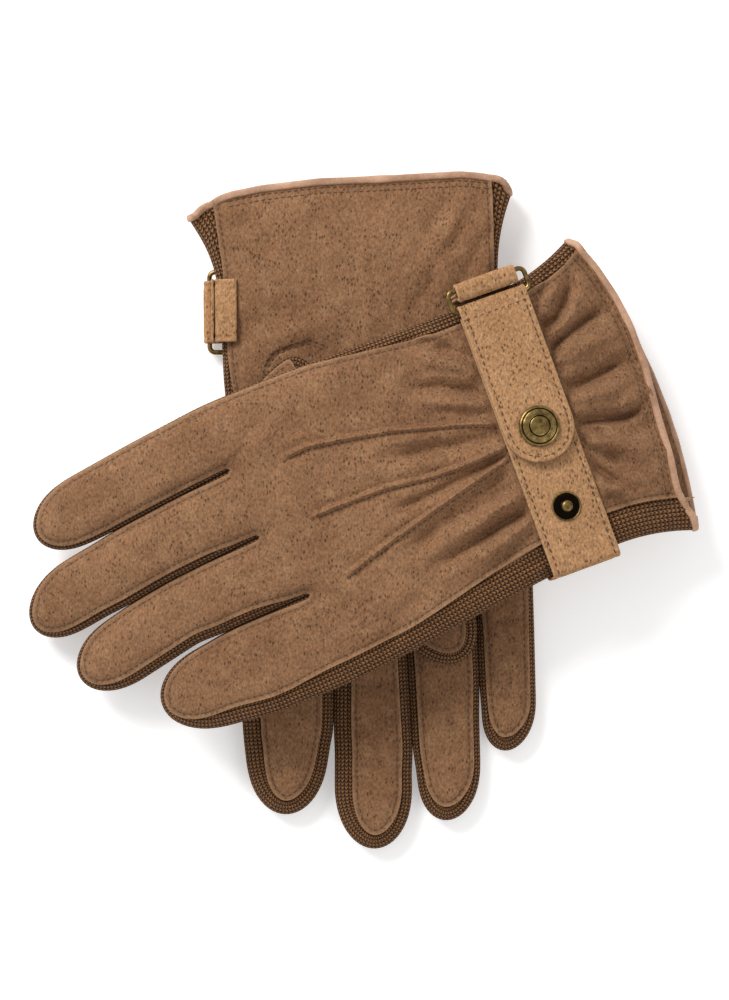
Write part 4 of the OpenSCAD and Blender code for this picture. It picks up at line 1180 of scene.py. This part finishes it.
def suede(name, mean, dark, light, worn_and_lit_edge_colour):
    """Brushed pigskin: four colours, an edge paled by wear and painted highlight, and painted shade in the
    stitching's groove.
    """
    mat, tree, at = material(name)
    colour = shade(mean)
    # cloudy patches: their size in mm, where they start and are full, how strong they are, their colour
    for size_mm, low, high, share, to in ((26, 0.38, 0.68, 0.6, dark), (6.5, 0.48, 0.74, 0.4, light)):
        patches = add(tree, NOISE, {"Scale": 1000 / size_mm, "Detail": 4, "Roughness": 0.55, "Vector": at})
        amount = add(tree, RANGE, {"Value": patches, "From Min": low, "From Max": high, "To Max": share})
        colour = add(tree, MIX, {"data_type": "RGBA", 0: amount, 6: colour, 7: shade(to)})
    # the nap is short strokes, a millimetre and a half long and about half as wide
    strokes = add(tree, MAPPING, {"Scale": (1, 0.6, 1), "Vector": at})
    nap = add(tree, NOISE, {"Scale": 1000 / 0.8, "Detail": 4, "Roughness": 0.8, "Vector": strokes})
    amount = add(tree, RANGE, {"Value": nap, "From Min": 0.34, "From Max": 0.68})
    grey = add(tree, MIX, {"data_type": "RGBA", 0: amount, 6: (0.22, 0.22, 0.22, 1), 7: (0.8, 0.8, 0.8, 1)})
    colour = add(tree, MIX, {"data_type": "RGBA", "blend_type": "OVERLAY", 0: 0.8, 6: colour, 7: grey})
    # pores are short dashes, a millimetre or two apart, and not everywhere
    dashes = add(tree, MAPPING, {"Scale": (1, 0.55, 1), "Vector": at})
    cells = add(tree, "ShaderNodeTexVoronoi", {"Scale": 1000 / 1.2, "Randomness": 0.85, "Vector": dashes})
    holes = add(tree, RANGE, {"Value": cells, "From Min": 0.36, "From Max": 0.12})
    places = add(tree, NOISE, {"Scale": 1000 / 4, "Detail": 3, "Roughness": 0.55, "Vector": at})
    places = add(tree, RANGE, {"Value": places, "From Min": 0.40, "From Max": 0.56})
    pore = add(tree, MATH, {"operation": "MULTIPLY", 0: holes, 1: places})
    # the edge is paler, partly wear and partly painted highlight where it rolls over, and the groove along the
    # stitching is darkened as painted shade
    edge, seam_groove_shade = (add(tree, "ShaderNodeAttribute", {"attribute_name": word}).outputs["Fac"]
                  for word in ("worn_and_lit_edge", "seam_groove_shade"))
    for amount, share, to in ((pore, 0.85, "#452D1C"), (edge, 0.4, worn_and_lit_edge_colour), (seam_groove_shade, 0.3, "#4E3625")):
        amount = add(tree, MATH, {"operation": "MULTIPLY", 0: amount, 1: share})
        colour = add(tree, MIX, {"data_type": "RGBA", 0: amount, 6: colour, 7: shade(to)})
    soft, rise = add(tree, NOISE, {"Scale": 1000 / 3.6, "Detail": 3, "Roughness": 0.55, "Vector": at}), 0.0
    for part, share in ((nap, 0.5), (soft, 0.9), (pore, -0.5)):
        rise = add(tree, MATH, {"operation": "MULTIPLY_ADD", 0: part, 1: share, 2: rise})
    bump = add(tree, BUMP, {"Strength": 0.75, "Distance": 0.0006, "Height": rise})
    skin = add(tree, SKIN, {"Base Color": colour, "Normal": bump, "Roughness": 0.93, "Specular IOR Level": 0.2,
                            "Sheen Weight": 0.12, "Sheen Roughness": 0.5, "Sheen Tint": shade("#D9B592")})
    add(tree, OUT, {"Surface": skin})
    return mat


# The hands' suede, and the strap's, which is the same skin in lighter colours
body_suede = suede("brown pigskin suede", "#886346", "#6D4A31", "#A4805E", "#A48363")
strap_suede = suede("light pigskin suede", "#A97F59", "#926B48", "#BE966E", "#BB9671")

# %% Ribbed wool
# Brown wool, knitted in ribs. The map's X runs along the ribs and its Y across them, in centimetres
ribbed, tree, at = material("ribbed brown wool")
parts = add(tree, "ShaderNodeSeparateXYZ", {"Vector": add(tree, "ShaderNodeUVMap", {"uv_map": "UVMap"})})
fuzz = add(tree, NOISE, {"Scale": 1000 / 0.8, "Detail": 4, "Vector": at})
stitch = 1.45            # from one stitch to the next along a rib, in mm
made = {"X": parts.outputs["X"], "Y": parts.outputs["Y"], "fuzz": fuzz}
for word, operation, *values in (
    ("off", "MULTIPLY_ADD", "Y", 10 / rib, 0.5), ("off", "FRACT", "off"), ("off", "SUBTRACT", "off", 0.5),
    ("off", "ABSOLUTE", "off"), ("off", "MULTIPLY", "off", 2),       # 0 on top of a rib, and 1 between ribs
    ("along", "MULTIPLY", "X", 10 / stitch), ("along", "MULTIPLY_ADD", "off", 0.6, "along"),
    ("along", "MULTIPLY_ADD", "fuzz", 0.6, "along"),                # each stitch is a V with loose legs
    ("strand", "MULTIPLY", "along", 2 * math.pi), ("strand", "COSINE", "strand"),
    ("strand", "MULTIPLY_ADD", "strand", 0.5, 0.5), ("strand", "POWER", "strand", 0.6),
    ("gap", "POWER", "off", 3), ("body", "SUBTRACT", 1, "gap"), ("yarn", "MULTIPLY", "strand", "body"),
    ("loose", "MULTIPLY_ADD", "fuzz", 0.9, 0.5), ("yarn", "MULTIPLY", "yarn", "loose"),
):
    values = {k: made.get(value, value) for k, value in enumerate(values)}
    made[word] = add(tree, MATH, {"operation": operation, "use_clamp": word == "yarn", **values})
# the ramp darkens the gaps between ribs and between stitches: painted shade
ramp = add(tree, "ShaderNodeValToRGB", {"Fac": made["yarn"]})
ramp.color_ramp.elements.new(0.45)
for element, at, colour in zip(ramp.color_ramp.elements, (0.08, 0.45, 0.9), ("#23120A", "#66452A", "#94683F")):
    element.position, element.color = at, shade(colour)
bump = add(tree, BUMP, {"Strength": 0.9, "Distance": 0.0006, "Height": made["yarn"]})
add(tree, OUT, {"Surface": add(tree, SKIN, {
    "Base Color": ramp, "Normal": bump, "Roughness": 0.95, "Sheen Weight": 0.06, "Sheen Roughness": 0.5,
    "Specular IOR Level": 0.15})})

# %% Binding leather, thread, elastic and brass
# Thin smooth leather, a little shiny where it is rolled over the edge
nappa, tree, at = material("smooth tan binding leather")
wide = add(tree, NOISE, {"Scale": 1000 / 9, "Detail": 4, "Vector": at})
fine = add(tree, NOISE, {"Scale": 1000 / 0.9, "Detail": 3, "Vector": at})
both = add(tree, MATH, {"operation": "MULTIPLY", 0: wide, 1: 0.7})
both = add(tree, MATH, {"operation": "MULTIPLY_ADD", 0: fine, 1: 0.3, 2: both})
amount = add(tree, RANGE, {"Value": both, "From Min": 0.36, "From Max": 0.62})
colour = add(tree, MIX, {"data_type": "RGBA", 0: amount, 6: shade("#966F54"), 7: shade("#BF9678")})
bump = add(tree, BUMP, {"Strength": 0.5, "Distance": 0.0003, "Height": fine})
add(tree, OUT, {"Surface": add(tree, SKIN, {"Base Color": colour, "Normal": bump, "Roughness": 0.55})})

# Waxed polyester thread, and elastic webbing woven from brown yarn, each with a fine twist in its colour
twisted = []
for name, size_mm, dark, light, rough in (("dark brown sewing thread", 0.8, "#33200F", "#60452C", 0.7),
                                          ("woven brown elastic", 0.6, "#3B2A1C", "#6B523A", 0.9)):
    mat, tree, at = material(name)
    twist = add(tree, NOISE, {"Scale": 1000 / size_mm, "Detail": 2, "Vector": at})
    colour = add(tree, MIX, {"data_type": "RGBA", 0: twist, 6: shade(dark), 7: shade(light)})
    add(tree, OUT, {"Surface": add(tree, SKIN, {"Base Color": colour, "Roughness": rough})})
    twisted.append(mat)
thread, webbing = twisted

# Brass that was darkened and rubbed: bright on high places, and brown in the hollows
brass, tree, at = material("antique brass")
stain = add(tree, NOISE, {"Scale": 1000 / 2.6, "Detail": 5, "Roughness": 0.65, "Vector": at})
amount = add(tree, RANGE, {"Value": stain, "From Min": 0.38, "From Max": 0.62})
colour = add(tree, MIX, {"data_type": "RGBA", 0: amount, 6: shade("#574426"), 7: shade("#9C8350")})
hollow = add(tree, "ShaderNodeAttribute", {"attribute_name": "hollow"}).outputs["Fac"]
colour = add(tree, MIX, {"data_type": "RGBA", 0: hollow, 6: colour, 7: shade("#17110B")})
rough = add(tree, RANGE, {"Value": stain, "From Min": 0.35, "From Max": 0.65, "To Min": 0.48, "To Max": 0.3})
scuff = add(tree, NOISE, {"Scale": 1000 / 0.5, "Detail": 3, "Vector": at})
bump = add(tree, BUMP, {"Strength": 0.15, "Distance": 0.0002, "Height": scuff})
add(tree, OUT, {"Surface": add(tree, SKIN, {
    "Base Color": colour, "Normal": bump, "Roughness": rough, "Metallic": 1.0})})
print("materials:", [m.name for m in (body_suede, strap_suede, ribbed, nappa, thread, webbing, brass)])

# %% [markdown]
# ## Sewing
# Every panel is sewn to the knit about two millimetres inside its edge, the cuff has two rows, the
# tucks on the back have a row on each side, and the strap is edged all round. The lines are found on
# the same surface as the suede, and each body gets its own thread.

# %% Lines of stitching
def on_panel(h, side, xy, line=None, mid=height / 2, hand=True, inset=None):
    line = line or LINES[h]
    inset = None if inset is None else np.full(len(xy), inset)
    z = surface(h, side, line, xy, mid, inset, hand)
    return np.column_stack([xy, z + (0.02 if side == BACK else -0.02)])


def split_runs(values):
    change = [0] + [k for k in range(1, len(values)) if values[k] != values[k - 1]] + [len(values)]
    return [(values[a], a, b) for a, b in zip(change[:-1], change[1:])]


fine_stitch = {"Pitch": 0.0024, "Length": 0.0017, "Thickness": 0.00046, "Thread": thread}
strap_stitch = {"Pitch": 0.0027, "Length": 0.0018, "Thickness": 0.0005, "Thread": thread}
THREADS = {}
for h in (LEFT, RIGHT):
    line = LINES[h]
    rows = {}
    for side in (BACK, PALM):
        edge = line["p"] + line["n"] * (line["w"][:, side, None] + 1.8)
        path = even(edge, 0.9)
        keep = path[:, 1] > hem_y(h, side, path[:, 0]) + 3
        path = path[keep]
        own = owner(h, path)
        pts = on_panel(h, side, path, inset=1.7)
        for g, a, b in split_runs(own):
            rows.setdefault(int(g), []).append(pts[a:min(b + 1, len(pts))])
        for off in (2.9, 4.9):
            xs = np.linspace(-56, 56, 150)
            xy = np.stack([xs, hem_y(h, side, xs) + off], 1)
            left = np.array([hand_edge(h, -1, max(0, q)) for q in xy[:, 1]]) - line["w"][-1, side] - 1.5
            right = np.array([hand_edge(h, 1, max(0, q)) for q in xy[:, 1]]) - line["w"][0, side] - 1.5
            xy = xy[(xs > -left) & (xs < right)]
            rows.setdefault(-1, []).append(on_panel(h, side, xy))
        if side == PALM:
            seam = even(np.array([(37.5, 66), (36.7, 62), (35.5, 57), (32.7, 53.2), (27.5, 51.4),
                                  (20.6, 49.9), (16, 52)]), 1.0)
            for off in (0.0, 1.5):
                rows[-1].append(on_panel(h, side, seam + off * sideways(seam)))
        if side == BACK:
            for tuck in TUCKS:
                t = even(np.array(tuck, float), 1.0)
                rows[-1].append(on_panel(h, side, t + 1.35 * sideways(t)))
    for g, found in rows.items():
        word = f"{HANDS[h]}_{FINGERS[g]}_stitches" if g >= 0 else f"{HANDS[h]}_hand_stitches"
        # the thread doesn't press into the table
        obj = lines_object(word, [np.maximum(place(h, q), [-1, -1, 0.0003]) for q in found if len(q) > 2])
        THREADS[h, g] = grow(obj, sewing, sewing_ids, fine_stitch)
    around = []
    for side in (BACK, PALM):
        edge = THUMB["p"] + THUMB["n"] * (THUMB["w"][:, side, None] + 1.8)
        pts = on_panel(h, side, np.vstack([edge, edge[:1]]), THUMB, thumb_mid, False, 1.7)
        around.append(place(h, pts))
    THREADS[h, "thumb"] = grow(lines_object(f"{HANDS[h]}_thumb_stitches", around), sewing, sewing_ids, fine_stitch)
    r = strap_width / 2 - 2
    top = tab_z + strap_thick / 2 - 0.1
    a = np.radians(np.linspace(90, 270, 40))
    edge = [(near_x - 1, r, top)] + [(r * math.cos(q), r * math.sin(q), top) for q in a] + [(near_x - 1, -r, top)]
    across = [(near_x - 3.5, y, top) for y in (-r, r)]
    lines = [place(h, strap_point(h, even(np.array(q, float), 0.8))) for q in (edge, across)]
    THREADS[h, "tab"] = grow(lines_object(f"{HANDS[h]}_tab_stitches", lines), sewing, sewing_ids, strap_stitch)
    lines = [[(-leg_x + 1, s * r, 1.55), (strap_end - 1, s * r, 1.55)] for s in (-1, 1)]
    lines = [place(h, strap_point(h, even(np.array(q, float), 0.8))) for q in lines]
    THREADS[h, "strap"] = grow(lines_object(f"{HANDS[h]}_strap_stitches", lines), sewing, sewing_ids, strap_stitch)
print("thread faces:", sum(len(o.data.polygons) for o in THREADS.values()))

# %% Beads on the cap
beading, beading_ids, given, result = new_tree("beading", [
    ("Count", "Int", 40), ("Radius", "Float", 0.0051), ("Bead", "Float", 0.0003), ("Metal", "Material", None)])
ring = add(beading, "GeometryNodeMeshCircle", {
    "Vertices": given.outputs["Count"], "Radius": given.outputs["Radius"]})
ball = add(beading, "GeometryNodeMeshIcoSphere", {"Subdivisions": 2, "Radius": given.outputs["Bead"]})
each = add(beading, "GeometryNodeInstanceOnPoints", {"Points": ring, "Instance": ball})
real = add(beading, "GeometryNodeRealizeInstances", {"Geometry": each})
made = add(beading, "GeometryNodeSetMaterial", {"Geometry": real, "Material": given.outputs["Metal"]})
beading.links.new(made.outputs[0], result.inputs["Geometry"])
BEADS = {}
for h in (LEFT, RIGHT):
    obj = lines_object(f"{HANDS[h]}_cap_beads", [[(0, 0, 0), (0.001, 0, 0)]])
    obj = grow(obj, beading, beading_ids, {"Count": 40, "Radius": 0.0051, "Bead": 0.00025, "Metal": brass})
    local = np.array([v.co for v in obj.data.vertices]) * 1000 + [0, 0, tab_top + 1.6]
    world = place(h, strap_point(h, local))
    obj.data.vertices.foreach_set("co", world.astype(np.float32).ravel())
    if h == RIGHT:
        obj.data.flip_normals()
    obj.data.update()
    BEADS[h] = obj
print("beads:", [len(b.data.polygons) for b in BEADS.values()])

# %% [markdown]
# ## Joining the pieces to the bodies
# Each piece stands for its solids in the imported model and moves with that body. A fingertip's suede,
# knit and thread cross the knuckle; they stay where they are made, joined to no body.

# %% Bodies and finishes
def finish(obj, mat, slot, body, *nodes, across=None):
    obj.data.materials.clear()
    obj.data.materials.append(mat)
    if nodes:
        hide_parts(*nodes)
    if across is None:
        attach(obj, body)
    else:
        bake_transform(obj)


for h in (LEFT, RIGHT):
    n = HANDS[h]
    glove = f"{n}_glove"
    for side, word in ((BACK, "back"), (PALM, "palm")):
        for g, obj in PANELS[h, side].items():
            if g < 0:
                finish(obj, body_suede, "suede", glove, f"{n}_{word}_panel")
            else:
                finish(obj, body_suede, "suede", None, f"{n}_{FINGERS[g]}_tip_{word}", across=(h, g))
    finish(PANELS[h, BACK, "thumb"][-1], body_suede, "suede", glove, f"{n}_thumb_inner")
    finish(PANELS[h, PALM, "thumb"][-1], body_suede, "suede", glove, f"{n}_thumb_outer")
    finish(WALLS[h, "thumb"], ribbed, "knit", glove, f"{n}_thumb_wall")
    finish(WALLS[h, "thumb_side"], ribbed, "knit", glove, f"{n}_thumb_side_wall")
    finish(WALLS[h, "little_side"], ribbed, "knit", glove, f"{n}_little_side_wall")
    for k, word in enumerate(("index_and_middle", "middle_and_ring", "ring_and_little")):
        finish(WALLS[h, "between_" + word], ribbed, "knit", glove, *([f"{n}_fourchettes"] if k == 0 else []))
    for i in range(4):
        finish(WALLS[h, FINGERS[i] + "_tip"], ribbed, "knit", None, f"{n}_{FINGERS[i]}_tip_wall", across=(h, i))
        if (h, i) in THREADS:
            finish(THREADS[h, i], thread, "suede", None, across=(h, i))
    for key in (-1, "thumb", "strap"):
        finish(THREADS[h, key], thread, "suede", glove)
    finish(THREADS[h, "tab"], thread, "suede", f"{n}_tab")
    finish(BINDING[h], nappa, "binding", glove, f"{n}_cuff_binding")
    finish(ELASTIC[h], webbing, "elastic", glove, f"{n}_wrist_elastic")
    finish(STRAPS[h, "strap"], strap_suede, "suede", glove, f"{n}_strap")
    finish(STRAPS[h, "tab"], strap_suede, "suede", f"{n}_tab", f"{n}_strap_tab")
    finish(STRAPS[h, "keeper"], strap_suede, "suede", glove, f"{n}_loop_keeper")
    finish(METAL[h, "loop"], brass, "brass", f"{n}_loop", f"{n}_strap_loop")
    finish(METAL[h, "cap"], brass, "brass", f"{n}_tab", f"{n}_snap_cap")
    finish(BEADS[h], brass, "brass", f"{n}_tab")
    finish(METAL[h, "stud", 0], brass, "brass", glove, f"{n}_snap_studs")
    finish(METAL[h, "stud", 1], brass, "brass", glove)
    socket = bpy.data.objects[f"{n}_snap_socket"]
    for k in range(len(socket.material_slots)):
        socket.material_slots[k].material = brass

# %% [markdown]
# ## Table, light and camera
# The gloves lie on a plain white table and are seen from straight above. One large soft light from the
# upper left gives the folds their shade, and a bright even surround keeps the shadows open.

# %% The scene round the gloves
# A plain white table top with a weak glow of its own, which lightens the shadows on it
table_mat, tree, at = material("plain white table")
add(tree, OUT, {"Surface": add(tree, SKIN, {"Base Color": shade("#FAFAFA"), "Roughness": 0.9,
                                            "Emission Color": shade("#FFFFFF"), "Emission Strength": 0.3})})
table = make_mesh("table", [(-3, -3, 0), (3, -3, 0), (3, 3, 0), (-3, 3, 0)], [(0, 1, 2, 3)])
table.data.materials.append(table_mat)

world = bpy.data.worlds.new("soft surround")
bpy.context.scene.world = world
world.use_nodes = True
world.node_tree.nodes["Background"].inputs[0].default_value = (1, 1, 1, 1)
world.node_tree.nodes["Background"].inputs[1].default_value = 0.56


def soft_light(name, at, size, power):
    data = bpy.data.lights.new(name, "AREA")
    data.shape, data.size, data.energy = "SQUARE", size, power
    obj = bpy.data.objects.new(name, data)
    obj.location = at
    obj.rotation_euler = (Vector((0, 0, 0)) - Vector(at)).to_track_quat("-Z", "Y").to_euler()
    bpy.context.scene.collection.objects.link(obj)


soft_light("window", (-0.75, 0.95, 1.0), 0.7, 22)
soft_light("fill", (1.0, -0.6, 1.2), 1.0, 5)
bpy.context.scene.view_settings.view_transform = "Standard"

eye = bpy.data.cameras.new("from above")
eye.lens, eye.sensor_width, eye.clip_start, eye.clip_end = 36 * 1.5 / 0.365, 36, 0.05, 10
camera = bpy.data.objects.new("from above", eye)
camera.location = (0.0005, 0.0049, 1.52)
bpy.context.scene.collection.objects.link(camera)
bpy.context.scene.camera = camera
